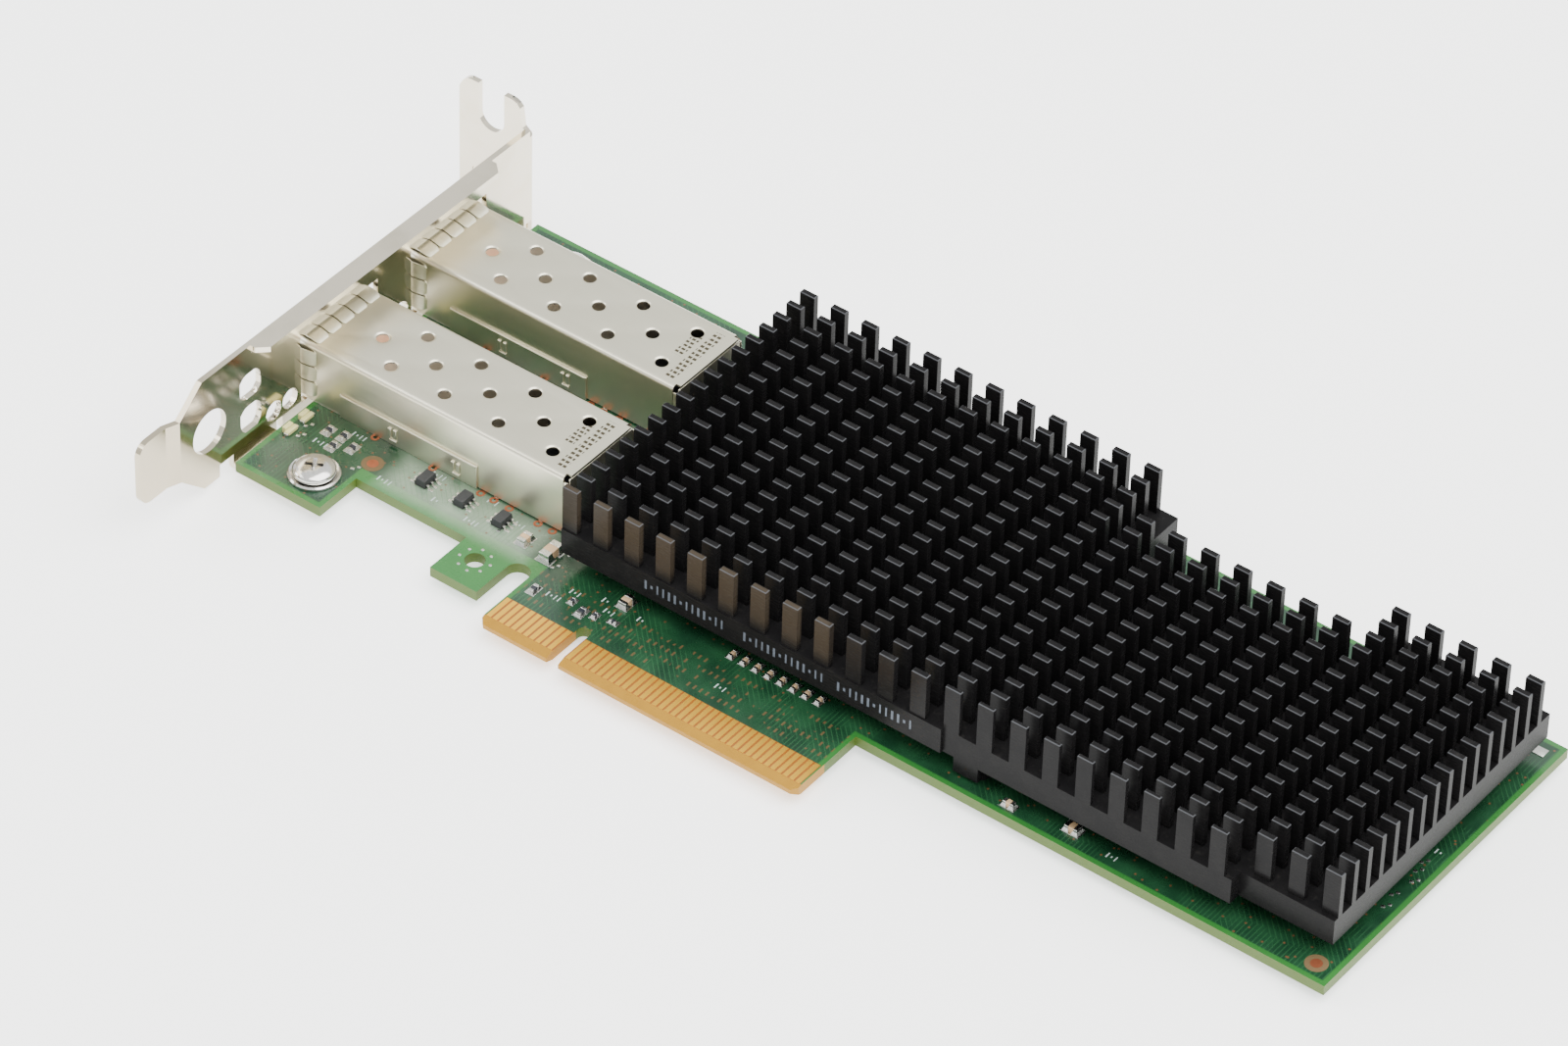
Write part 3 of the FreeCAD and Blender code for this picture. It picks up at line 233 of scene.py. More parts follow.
def conductors(finish):
    """Fine conductors in two directions, in patches."""
    upright = finish.x.bands(0.62).step(0.34, 0.44)
    slanted = (finish.x + finish.y).bands(0.9).step(0.36, 0.46)
    patch = finish.noise(0.12, 2).step(0.48, 0.56)
    lines = upright * patch + slanted * (1 - patch)
    return lines * finish.noise(0.09, 1).step(0.42, 0.55)


def through_holes(finish):
    """Tinned through-holes, scattered over the board but kept off the tongue."""
    cells = finish.node("ShaderNodeTexVoronoi", {"voronoi_dimensions": "2D"},
                        {"Vector": finish.place, "Scale": 0.42}, "Distance")[0]
    tongue = finish.within(TONGUE_LEFT + 0.2, TONGUE_RIGHT - 0.2, CONTACT_REAR - 0.25,
                           BODY_FRONT + 0.65)
    return (1 - cells.step(0.055, 0.085)) * (1 - tongue)


def copper_stubs(finish):
    """Rows of short copper stubs behind the contacts."""
    rows = finish.within(TONGUE_LEFT + 0.6, TONGUE_RIGHT - 0.6, CONTACT_REAR + 0.65,
                         BODY_FRONT + 0.45)
    stub = (finish.x.bands() < 0.16) * ((finish.y / 1.65 + 0.1).bands() < 0.24)
    return rows * stub * finish.noise(0.5, 1).step(0.47, 0.5)


def bare_edge(finish, tongue):
    """Layers of laminate, as the cut edges show them, and amber ones on the tongue."""
    laminate = finish.blend(colour(78, 98, 0), colour(46, 74, 4),
                            finish.z.bands(0.26).step(0.1, 0.5))
    amber = finish.blend(colour(168, 122, 0), colour(150, 106, 0), finish.noise(0.6))
    return finish.blend(laminate, amber, tongue)


def solder_mask():
    """Green mask over copper, paler where there is none, with bare laminate at the edges."""
    finish = Finish("solder_mask", Coat_Weight=0.25, Coat_Roughness=0.18)
    copper = copper_planes(finish)
    grain = finish.noise(0.22, 5)
    bare = finish.blend(colour(50, 110, 50), colour(40, 94, 42), grain)
    planes = finish.blend(colour(22, 50, 34), colour(32, 67, 44), grain.step(0.3, 0.7))
    mask = finish.blend(bare, planes, copper)

    # a pale, blotchy patch in front of the first cage
    pale_patch = finish.within(-41, -13, 10.5, 21, 4.0) * (finish.noise(0.3, 4) * 0.5 + 0.45)
    mask = finish.blend(mask, colour(134, 152, 130), pale_patch)
    lines = conductors(finish) * copper
    mask = finish.blend(mask, colour(56, 104, 66), lines * 0.35)
    holes = through_holes(finish) * copper
    mask = finish.blend(mask, colour(104, 68, 46), holes * 0.8)
    mask = finish.blend(mask, colour(104, 76, 52), copper_stubs(finish) * 0.6)
    gaps = finish.within(TONGUE_LEFT + 0.2, TONGUE_RIGHT - 0.2, TONGUE_FRONT, CONTACT_REAR)
    mask = finish.blend(mask, colour(132, 76, 12), gaps)

    # laminate on the cut edges and on the tongue's bevel
    tongue = finish.within(TONGUE_LEFT - 0.3, TONGUE_RIGHT + 0.3, -1, CONTACT_REAR + 0.45)
    bevel = (1 - finish.y.step(1.25, 1.32)) * \
        finish.within(TONGUE_LEFT - 0.8, TONGUE_RIGHT + 0.8, -1, 3)
    side = 1 - finish.facing().step(0.3, 0.6)
    cut = side.most(bevel)
    finish.set(Base_Color=finish.blend(mask, bare_edge(finish, tongue), cut),
               Metallic=cut * tongue * 0.25,
               Roughness=finish.noise(0.5) * 0.12 + 0.22 + side * 0.4)
    finish.bump(lines + holes, 0.25, 0.03)
    return finish.material


def grained(name, first, second, pattern, rough, relief, metallic=1.0):
    """A finish with one grain, which carries it between two colours, roughens and raises it.

    Rough is the least roughness and what the grain adds to it, and relief is the strength
    and the height of the grain."""
    finish = Finish(name, metallic=metallic)
    grain = finish.noise(*pattern)
    finish.set(Base_Color=finish.blend(colour(*first), colour(*second), grain),
               Roughness=grain * rough[1] + rough[0])
    finish.bump(grain, *relief)
    return finish.material


def gold_plate():
    """Hard gold on the contacts, with fine wiping marks along them."""
    return grained("contact_gold_plate", (255, 204, 84), (244, 182, 58), (1.2, 4, (4, 0.3, 1)),
                   rough=(0.28, 0.15), relief=(0.15, 0.02))


def bright_nickel():
    """Bright plated sheet with a faint roll grain and a few rubbed places."""
    finish = Finish("bright_nickel", metallic=1.0)
    roll = finish.noise(1.6, 3, (0.2, 1, 6))
    rubs = finish.noise(0.12, 5).step(0.45, 0.75)
    tone = finish.blend(colour(222, 213, 194), colour(208, 199, 178), rubs)
    # darker and warmer towards the bracket's front end
    darker_front_end = 1 - finish.y.step(-3, 9)
    tone = finish.blend(tone, colour(182, 170, 146), darker_front_end * 0.8)
    finish.set(Base_Color=tone, Roughness=rubs * 0.06 + roll * 0.04 + 0.09)
    finish.bump(roll, 0.08, 0.02)
    return finish.material


def satin_nickel(name, marked):
    """Satin plated cage sheet, with rows of plain etched dashes where it is marked, and painted
    light and shade on its inner faces.
    """
    finish = Finish(name, metallic=1.0)
    roll = finish.noise(1.0, 4, (0.15, 3, 1))
    cloud = finish.noise(0.1, 3)
    tone = finish.blend(colour(224, 219, 199), colour(208, 203, 182), cloud)
    rough = roll * 0.1 + cloud * 0.12 + 0.24
    if marked:
        etch = etched_dashes(finish)
        tone = finish.blend(tone, colour(84, 78, 64), etch)
        rough = rough + etch * 0.3
    # painted shade inside the cages, with a painted warm reflection near the mouth
    inside = cage_inside(finish)
    tone = finish.blend(tone, painted_cage_inner_light(finish), inside)
    rough = rough + inside * 0.35
    finish.set(Base_Color=tone, Roughness=rough)
    finish.bump(roll + cloud * 2, 0.06, 0.05)
    return finish.material


def painted_cage_inner_light(finish):
    """Inside a cage: a painted warm reflection behind the first vent, and painted shade that
    deepens towards the rear.
    """
    depth = finish.x - CAGE_LOW.x
    painted_depth_shade = finish.blend(colour(202, 197, 184), colour(112, 106, 96), depth.step(16, 42))
    painted_warm_reflection = depth.step(1.5, 3) * (1 - depth.step(5.8, 7))
    return finish.blend(painted_depth_shade, colour(255, 214, 180), painted_warm_reflection * 0.7)


def most_of(shares):
    return functools.reduce(Value.most, shares)


def cage_inside(finish):
    """1 on the cages' inner faces, which the light hardly reaches."""
    rooms = []
    for port in PORTS:
        near, far = low(port + "_cage_shell"), high(port + "_cage_shell")
        rooms.append(finish.within(near.x - 1, far.x - 0.12, near.y + 0.13, far.y - 0.13, 0.05))
    return most_of(rooms) * (1 - finish.z.step(CAGE_HIGH.z - 0.3, CAGE_HIGH.z - 0.16))


# Each row of etched dashes: from where to where across the cage, how far from its rear,
# and at what pitch.
DASH_ROWS = ((1.0, 12.6, 1.6, 0.92), (5.6, 10.4, 3.7, 0.8))
DASH_DEPTH = 1.5


def etched_dashes(finish):
    """Rows of short plain strokes across the rear of each cage's top."""
    level = (finish.z - CAGE_HIGH.z + 0.2).step(0.0, 0.05)
    marks = []
    for port in PORTS:
        front = low(port + "_cage_shell").y
        for start, end, behind, pitch in DASH_ROWS:
            rear = CAGE_HIGH.x - behind
            row = finish.within(rear - DASH_DEPTH, rear, front + start, front + end, 0.06)
            shift = (finish.y / pitch).math("FLOOR") * 0.37
            stroke = finish.y.bands(pitch) < 0.25
            cross = (finish.x / 0.74 + shift).bands() > 0.12
            marks.append(row * stroke * cross)
    return most_of(marks) * level


def spring_nickel():
    return grained("spring_nickel", (230, 226, 208), (210, 206, 184), (2.0, 3, (0.3, 2, 2)),
                   rough=(0.34, 0.12), relief=(0.05, 0.02))


def zinc_plate():
    return grained("zinc_plate", (226, 224, 220), (196, 193, 188), (3.0, 4),
                   rough=(0.1, 0.12), relief=(0.12, 0.03))


def black_anodised():
    """Black anodised aluminium: a fine matt bloom, with saw marks on the fins' flanks, a painted
    warm reflection on the front fins' upper part and a painted highlight on the eased edges.
    """
    finish = Finish("black_anodised", Specular_IOR_Level=0.06)
    bloom = finish.noise(0.35, 5)
    saw = finish.noise(2.2, 3, (0.4, 0.4, 5))
    tone = finish.blend(colour(22, 22, 23), colour(34, 33, 33), bloom)
    tone = finish.blend(tone, colour(48, 46, 44), saw.step(0.56, 0.8) * 0.5)
    left, front = SINK_LOW.x, SINK_LOW.y
    # painted reflection: a warm brown tint on the upper front of the fins, standing in for the
    # gold and board mirrored there
    painted_reflection_front = finish.within(left - 1, left + 44, front - 1, front + 2.2, 6.0)
    painted_reflection_front = painted_reflection_front * finish.z.step(7.0, 9.5)
    tone = finish.blend(tone, colour(140, 122, 98), painted_reflection_front * 0.8)
    # painted highlight: lighter grey on the sloped faces of the eased edges
    slope = finish.facing()
    painted_edge_highlight = slope.step(0.3, 0.5) * (1 - slope.step(0.85, 0.97))
    tone = finish.blend(tone, colour(84, 85, 88), painted_edge_highlight * 0.7)
    finish.set(Base_Color=tone, Roughness=bloom * 0.1 + saw * 0.08 + 0.18)
    finish.bump(saw + bloom, 0.06, 0.02)
    return finish.material


def moulded(name, dark, pale, roughness):
    """Moulded or fired bodies of small parts."""
    return grained(name, dark, pale, (6.0, 3), rough=(roughness, 0.2), relief=(0.2, 0.02),
                   metallic=0.0)


def solder_tin():
    return grained("solder_tin", (214, 214, 210), (174, 174, 168), (2.4, 3),
                   rough=(0.15, 0.25), relief=(0.4, 0.05))


def bare_copper():
    return grained("bare_copper", (172, 102, 72), (132, 74, 50), (1.4, 4),
                   rough=(0.35, 0.2), relief=(0.1, 0.02), metallic=0.7)


def mark_ink(name, tint):
    """Printed marks, worn darker in places."""
    finish = Finish(name)
    wear = finish.noise(2.0, 4)
    pale = tuple(part * 0.75 for part in tint)
    finish.set(Base_Color=finish.blend(colour(*tint), colour(*pale), wear),
               Roughness=wear * 0.2 + 0.5)
    return finish.material


# ------------------------------------------------------------------ mesh helpers

def as_object(shape, name):
    """Makes a bmesh in millimetres an object of the scene."""
    bmesh.ops.scale(shape, vec=(MM, MM, MM), verts=shape.verts)
    mesh = bpy.data.meshes.new(name)
    shape.to_mesh(mesh)
    shape.free()
    made = bpy.data.objects.new(name, mesh)
    bpy.context.scene.collection.objects.link(made)
    return made


def publish(shape, name, material, slot_name, *replaced, smooth=30):
    """Makes a piece from a bmesh in millimetres and lets it ride on the card.

    Faces that meet at less than the smooth angle are shaded as one. At 0 each face keeps
    the shading it has."""
    bmesh.ops.recalc_face_normals(shape, faces=shape.faces)
    piece = as_object(shape, name)
    piece.data.materials.append(material)
    if smooth:
        piece.data.shade_smooth()
        piece.data.set_sharp_from_angle(angle=math.radians(smooth))
    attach(piece, "root")
    if replaced:
        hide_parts(*replaced)
    return piece


def cad_copy(node):
    """A CAD node's mesh in millimetres, with its doubles merged and its flat faces whole."""
    shape = bmesh.new()
    shape.from_mesh(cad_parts[node].data)
    bmesh.ops.scale(shape, vec=(1 / MM, 1 / MM, 1 / MM), verts=shape.verts)
    bmesh.ops.remove_doubles(shape, verts=shape.verts, dist=0.0005)
    bmesh.ops.dissolve_limit(shape, angle_limit=math.radians(0.5), verts=shape.verts,
                             edges=shape.edges, delimit=set())
    for face in shape.faces:
        face.smooth = any(1 < math.degrees(edge.calc_face_angle(0)) < 30 for edge in face.edges)
    return shape


def islands(node):
    """The lowest and highest corners of each separate solid of a node."""
    shape = cad_copy(node)
    left = set(shape.verts)
    boxes = []
    while left:
        reached = [left.pop()]
        spots = []
        while reached:
            vert = reached.pop()
            spots.append(vert.co.copy())
            for edge in vert.link_edges:
                other = edge.other_vert(vert)
                if other in left:
                    left.remove(other)
                    reached.append(other)
        boxes.append((Vector(map(min, zip(*spots))), Vector(map(max, zip(*spots)))))
    shape.free()
    return sorted(boxes, key=lambda box: tuple(box[0]))


def middles(node):
    return [(box[0] + box[1]) / 2 for box in islands(node)]


def sharp_edges(shape, angle=30):
    return [edge for edge in shape.edges
            if edge.is_manifold and edge.is_convex
            and edge.calc_face_angle() > math.radians(angle)]


def edges_of(verts):
    return list({edge for vert in verts for edge in vert.link_edges})


def verts_in(parts):
    return [part for part in parts if isinstance(part, bmesh.types.BMVert)]


def edges_in(parts):
    return [part for part in parts if isinstance(part, bmesh.types.BMEdge)]


def ease(shape, width, edges=None, segments=2, measure="OFFSET"):
    """Rounds edges slightly, as tools and plating leave them."""
    made = bmesh.ops.bevel(shape, geom=sharp_edges(shape) if edges is None else edges,
                           offset=width, offset_type=measure, segments=segments, profile=0.5,
                           affect="EDGES", clamp_overlap=True, material=-1)
    for face in made["faces"]:
        face.smooth = True


def round_corners(shape, width, short=2.7, least=25, most=65):
    """Turns blunt corners into arcs. Where every side that meets a corner is short, as round
    a hole, the arcs take up nearly the whole of each side; elsewhere they have a width."""
    blunt = [edge for edge in shape.edges
             if edge.is_manifold and least < math.degrees(edge.calc_face_angle()) < most
             and all(len(vert.link_edges) == 3 for vert in edge.verts)]
    tight = [edge for edge in blunt
             if all(other.calc_length() < short for other in edges_of(edge.verts)
                    if other is not edge)]
    wide = [edge for edge in blunt if edge not in tight]
    ease(shape, 44, tight, segments=3, measure="PERCENT")
    ease(shape, width, [edge for edge in wide if edge.is_valid], segments=3)


def eased_node(node, width, material, slot_name, segments=2):
    """Stands an eased copy in for a CAD node."""
    shape = cad_copy(node)
    ease(shape, width, segments=segments)
    return publish(shape, node + "_eased", material, slot_name, node, smooth=0)


def add_block(shape, centre, lengths, turn=0.0):
    made = bmesh.ops.create_cube(shape, size=1.0)["verts"]
    place = (Matrix.Translation(centre) @ Matrix.Rotation(turn, 4, "Z")
             @ Matrix.Diagonal((*lengths, 1.0)))
    bmesh.ops.transform(shape, matrix=place, verts=made)
    return made


def add_ring(shape, centre, outer, inner, height, sides=28):
    """A flat ring, or a disc where inner is 0, with its top a height above its centre."""
    made = bmesh.ops.create_circle(shape, segments=sides, radius=outer, cap_ends=False)["verts"]
    bmesh.ops.translate(shape, vec=centre, verts=made)
    walls = bmesh.ops.extrude_edge_only(shape, edges=edges_of(made))["geom"]
    rim = edges_in(walls)
    bmesh.ops.translate(shape, vec=(0, 0, height), verts=verts_in(walls))
    middle = Vector(centre) + Vector((0, 0, height))
    if not inner:
        bmesh.ops.contextual_create(shape, geom=rim)
        return
    steps = bmesh.ops.extrude_edge_only(shape, edges=rim)["geom"]
    bmesh.ops.scale(shape, vec=(inner / outer, inner / outer, 1), verts=verts_in(steps),
                    space=Matrix.Translation(-middle))


# ------------------------------------------------------------------ bracket

SHEET = 0.86
BRACKET_REACH = 2.06
BRACKET_MIDDLE = 30
EAR_FRONT, TRIMMED_EAR_FRONT = 3.4, 5.0
SOLID_FLANGE_FRONT, SOLID_FLANGE_REAR = 9.0, 57.0
FLANGE_FRONT, FLANGE_REAR = 8.9, 59.2
FLANGE_BEND = 1.5
FLANGE_WIDTH_KEPT, FLANGE_CHAMFER_KEPT = 0.62, 0.6
SAG_AT_FRONT, SAG_AT_TAB, SAG_LENGTH = 0.2, 0.8, 58.0


def build_bracket(material):
    """The folded bracket, with a soft bend along its flange and rounded holes."""
    shape = cad_copy("mounting_bracket")
    outer = BOARD_LOW.x - BRACKET_REACH
    inner = outer + SHEET
    crown = max(vert.co.z for vert in shape.verts if vert.co.x > inner + 0.5)
    for face in shape.faces:
        face.smooth = False
    trim_ears(shape)
    settle_flange(shape, inner, crown)
    for along in (FLANGE_FRONT + 0.1, FLANGE_REAR - 0.1):
        bmesh.ops.bisect_plane(shape, geom=shape.verts[:] + shape.edges[:] + shape.faces[:],
                               plane_co=(0, along, 0), plane_no=(0, 1, 0), dist=1e-4)
    ease(shape, FLANGE_BEND, fold_edges(shape, outer, crown), segments=6)
    ease(shape, FLANGE_BEND - SHEET, fold_edges(shape, inner, crown - SHEET), segments=6)
    round_corners(shape, 0.35)
    ease(shape, 0.13, sharp_edges(shape, 66), segments=3)
    return publish(shape, "bracket_sheet", material, "bracket_steel", "mounting_bracket",
                   smooth=0)


def sag(along):
    """How much lower than on the solid the flange lies, more so towards the tab."""
    share = min(max((along - SOLID_FLANGE_FRONT) / SAG_LENGTH, 0.0), 1.0)
    return SAG_AT_FRONT + (SAG_AT_TAB - SAG_AT_FRONT) * share


def fold_edges(shape, line, crown):
    """The edges where one face of the sheet folds into the flange."""
    return [edge for edge in shape.edges
            if all(abs(vert.co.x - line) < 0.02 and FLANGE_FRONT < vert.co.y < FLANGE_REAR
                   and abs(vert.co.z - crown + sag(vert.co.y)) < 0.05 for vert in edge.verts)
            and edge.is_manifold and edge.calc_face_angle() > 1]


def trim_ears(shape):
    """Sets the front ear back behind the board's edge."""
    for vert in shape.verts:
        if abs(vert.co.y - EAR_FRONT) < 0.02 and vert.co.z < 0.1:
            vert.co.y = TRIMMED_EAR_FRONT


def settle_flange(shape, inner, crown):
    """Draws the flange in to the width that its bend leaves, and carries it to the tab."""
    for vert in shape.verts:
        front = vert.co.y < BRACKET_MIDDLE
        end = FLANGE_FRONT if front else FLANGE_REAR
        if vert.co.x > inner + 0.1 and vert.co.z > crown - 1:
            start = SOLID_FLANGE_FRONT if front else SOLID_FLANGE_REAR
            vert.co.x = inner + (vert.co.x - inner) * FLANGE_WIDTH_KEPT
            vert.co.y = end + (vert.co.y - start) * FLANGE_CHAMFER_KEPT
        elif abs(vert.co.x - inner) < 0.02 and vert.co.z > crown - 1 and 8 < vert.co.y < 58:
            vert.co.y = end
        if vert.co.z > crown - 1.1 and vert.co.x > inner - 1.35:
            vert.co.z -= sag(vert.co.y)


# ------------------------------------------------------------------ cages

CAGE_SHEET = 0.25
CAGE_BEND = 0.7
VENT_RADIUS = 0.92
VENT_DISH = 1.3
VENT_PITCH = 9.08
VENT_FIRST = 10.1
VENT_ROW = 3.85
REAR_NOTCH, NOTCH_DEPTH = 0.75, 0.15
REAR_GAP = 0.5
TAIL_WIDTH, TAIL_LENGTH = 0.7, 2.4


def vent_places(front, centre):
    """Where one cage's vents lie: a middle row and, half a pitch on, a row on each side."""
    places = []
    for step in range(4):
        inline = front + VENT_FIRST + VENT_PITCH * step
        places.append((inline, centre))
        places.append((inline + VENT_PITCH / 2, centre - VENT_ROW))
        places.append((inline + VENT_PITCH / 2, centre + VENT_ROW))
    return places


def build_cage_shell(port, material):
    """The folded upper sheet: dished vents, rounded bends, a rear flap and tails."""
    node = port + "_cage_shell"
    near, far = low(node), high(node)
    centre = (near.y + far.y) / 2
    top = far.z
    flat_near, flat_far = near.y + CAGE_BEND, far.y - CAGE_BEND
    shape = bmesh.new()
    notch = far.x - REAR_NOTCH
    corners = [shape.verts.new(place) for place in (
        (near.x, flat_near, top), (notch, flat_near, top),
        (notch, flat_near + NOTCH_DEPTH, top), (far.x, flat_near + NOTCH_DEPTH, top),
        (far.x, flat_far - NOTCH_DEPTH, top), (notch, flat_far - NOTCH_DEPTH, top),
        (notch, flat_far, top), (near.x, flat_far, top))]
    for start, end in zip(corners, corners[1:] + corners[:1]):
        shape.edges.new((start, end))
    dishes = []
    for across, along in vent_places(near.x, centre):
        ring = bmesh.ops.create_circle(shape, segments=28, radius=VENT_DISH)["verts"]
        bmesh.ops.translate(shape, vec=(across, along, top), verts=ring)
        dishes.append((across, along, ring))
    bmesh.ops.triangle_fill(shape, use_beauty=True, use_dissolve=False, edges=shape.edges,
                            normal=(0, 0, 1))
    for across, along, ring in dishes:
        sink_vent(shape, across, along, top, ring)
    for way, line in ((-1, flat_near), (1, flat_far)):
        fold_side(shape, way, line, top)
    bmesh.ops.recalc_face_normals(shape, faces=shape.faces)
    bmesh.ops.solidify(shape, geom=shape.faces, thickness=CAGE_SHEET)
    add_rear_flap(shape, near, far)
    add_tails(shape, node)
    return publish(shape, port + "_cage_sheet", material, "cage_metal", node, smooth=35)


def sink_vent(shape, across, along, top, ring):
    """A shallow dish round a vent, then the vent's own wall."""
    edges = [edge for edge in edges_of(ring) if edge.is_boundary]
    for radius, drop in ((VENT_DISH * 0.9, 0.02), (VENT_RADIUS * 1.06, 0.09),
                         (VENT_RADIUS, 0.14), (VENT_RADIUS * 0.985, 0.34)):
        steps = bmesh.ops.extrude_edge_only(shape, edges=edges)["geom"]
        edges = edges_in(steps)
        for vert in verts_in(steps):
            reach = Vector((vert.co.x - across, vert.co.y - along)).normalized() * radius
            vert.co = Vector((across + reach.x, along + reach.y, top - drop))


def fold_side(shape, way, line, top):
    """Bends the sheet down along one long edge and drops the side wall from it."""
    edges = [edge for edge in shape.edges
             if all(abs(vert.co.y - line) < 1e-4 for vert in edge.verts)]
    bent = bmesh.ops.spin(shape, geom=edges, cent=(0, line, top - CAGE_BEND), axis=(1, 0, 0),
                          angle=-way * math.pi / 2, steps=6, use_merge=False)["geom_last"]
    steps = bmesh.ops.extrude_edge_only(shape, edges=edges_in(bent))["geom"]
    bmesh.ops.translate(shape, vec=(0, 0, CAGE_SHEET - (top - CAGE_BEND)),
                        verts=verts_in(steps))


def add_rear_flap(shape, near, far):
    """The rear wall, set a hair inside the sides, and the side walls' ends beside it."""
    middle = (near.y + far.y) / 2
    width = far.y - near.y - 2 * CAGE_SHEET - REAR_GAP
    height = far.z - CAGE_SHEET - REAR_GAP
    level = height / 2 + CAGE_SHEET
    made = add_block(shape, (far.x - CAGE_SHEET / 2, middle, level), (CAGE_SHEET, width, height))
    for side, way in ((near.y, 1), (far.y, -1)):
        place = (far.x - REAR_NOTCH / 2 + 0.03, side + way * CAGE_SHEET / 2, level - 0.2)
        made += add_block(shape, place, (REAR_NOTCH - 0.12, CAGE_SHEET, height - 0.4))
    ease(shape, 0.08, edges_of(made))


def add_tails(shape, node):
    """The press-fit tails under the side walls, where the CAD node has them."""
    for place in tail_spots(node):
        made = add_block(shape, place, (TAIL_WIDTH, CAGE_SHEET, TAIL_LENGTH))
        ease(shape, 0.05, edges_of(made))


def tail_spots(node):
    """The middles of a node's tails, read from its lowest corners."""
    lowest = low(node).z
    groups = {}
    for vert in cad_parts[node].data.vertices:
        spot = vert.co / MM
        if spot.z < lowest + 0.01:
            key = (round(spot.x / 1.5), round(spot.y / 2.0))
            groups.setdefault(key, []).append(spot.copy())
    spots = []
    for group in groups.values():
        middle = sum(group, Vector()) / len(group)
        if all((middle - other).length > 1.0 for other in spots):
            spots.append(middle)
    return [Vector((spot.x, spot.y, lowest + TAIL_LENGTH / 2)) for spot in spots]


# Along the cage from its mouth: the lip on each side wall, and the lugs stamped in the wall.
LIP_MIDDLE, LIP_LENGTH, LIP_HEIGHT = 20.25, 22.9, 0.4
LUG_PLACES = (17.7, 28.4)
LUG_THICKNESS = 0.5
PRONG_LEVEL, PRONG_WIDTH, PRONG_HEIGHT = 2.1, 0.55, 1.5
STEP_LEVEL, STEP_WIDTH, STEP_HEIGHT = 0.8, 1.2, 0.5


def build_cage_base(port, material):
    """The lower sheet, with a folded lip along its side walls and stamped lugs."""
    node = port + "_cage_base"
    shape = cad_copy(node)
    ease(shape, 0.07)
    near, far = low(node), high(node)
    front = low(port + "_cage_shell").x
    for wall, way in ((near.y, -1), (far.y, 1)):
        lip = (front + LIP_MIDDLE, wall - way * 0.04, far.z - LIP_HEIGHT / 2)
        made = add_block(shape, lip, (LIP_LENGTH, 0.3, LIP_HEIGHT))
        for place in LUG_PLACES:
            for shift in (-0.45, 0.45):
                made += add_block(shape, (front + place + shift, wall, PRONG_LEVEL),
                                  (PRONG_WIDTH, LUG_THICKNESS, PRONG_HEIGHT))
            made += add_block(shape, (front + place + 0.1, wall, STEP_LEVEL),
                              (STEP_WIDTH, LUG_THICKNESS, STEP_HEIGHT))
        ease(shape, 0.09, edges_of(made))
    return publish(shape, port + "_cage_floor", material, "cage_metal", node, smooth=0)


FINGER_STEPS = 14
FINGER_PITCH = 2.65
FINGER_WIDTH = 2.42
FINGER_LENGTH = 3.7
FINGER_SHEET = 0.13
FINGER_CREST = 0.27
FINGER_BOW = 0.6
COLLAR_BAND, COLLAR_SHEET = 0.9, 0.14


def finger_lift(share):
    """How far a finger stands out from the cage along its length, as a share of its bow."""
    if share < FINGER_CREST:
        return math.sin(share / FINGER_CREST * math.pi / 2)
    return math.cos((share - FINGER_CREST) / (1 - FINGER_CREST) * math.pi / 2) ** 0.8


def add_finger(shape, start, position, bow, surface):
    """One spring finger, narrowed at its tip and splayed a little at its root.

    Surface turns a place along, across and out into a place on the card."""
    made = bmesh.ops.create_grid(shape, x_segments=FINGER_STEPS, y_segments=4, size=0.5)
    for vert in made["verts"]:
        share = vert.co.x + 0.5
        tip = max(0.0, (share - 0.82) / 0.18)
        root = max(0.0, (0.1 - share) / 0.1)
        half = FINGER_WIDTH / 2 * (1 - 0.3 * tip ** 2) + root * 0.1
        out = finger_lift(share) * bow + 0.04
        vert.co = surface(start + share * FINGER_LENGTH, position + vert.co.y * 2 * half, out)
    faces = list({face for vert in made["verts"] for face in vert.link_faces})
    bmesh.ops.recalc_face_normals(shape, faces=faces)
    bmesh.ops.solidify(shape, geom=faces, thickness=FINGER_SHEET)


def build_spring_collar(port, material):
    """The band round the mouth with five fingers on top and three down each side."""
    node = port + "_spring_collar"
    near, far = low(node), high(node)
    cage_low, cage_high = low(port + "_cage_shell"), high(port + "_cage_shell")
    middle = (cage_low.y + cage_high.y) / 2
    bow = (far.z - cage_high.z) * FINGER_BOW
    start = near.x + 0.5
    shape = bmesh.new()
    for step in range(-2, 3):
        add_finger(shape, start, middle + FINGER_PITCH * step, bow,
                   lambda along, across, out: Vector((along, across, cage_high.z + out)))
    for wall, way in ((cage_low.y, -1), (cage_high.y, 1)):
        for step in range(-1, 2):
            add_finger(shape, start, cage_high.z / 2 + FINGER_PITCH * step, bow,
                       lambda along, across, out, wall=wall, way=way:
                       Vector((along, wall + way * out, across)))
    half = COLLAR_SHEET / 2
    level = (COLLAR_BAND, cage_high.y - cage_low.y, COLLAR_SHEET)
    upright = (COLLAR_BAND, COLLAR_SHEET, cage_high.z)
    for across, height, lengths in ((middle, cage_high.z + half, level),
                                    (middle, -half, level),
                                    (cage_low.y - half, cage_high.z / 2, upright),
                                    (cage_high.y + half, cage_high.z / 2, upright)):
        add_block(shape, (near.x + COLLAR_BAND / 2, across, height), lengths)
    return publish(shape, port + "_finger_collar", material, "spring_steel", node, smooth=40)


# ------------------------------------------------------------------ screws

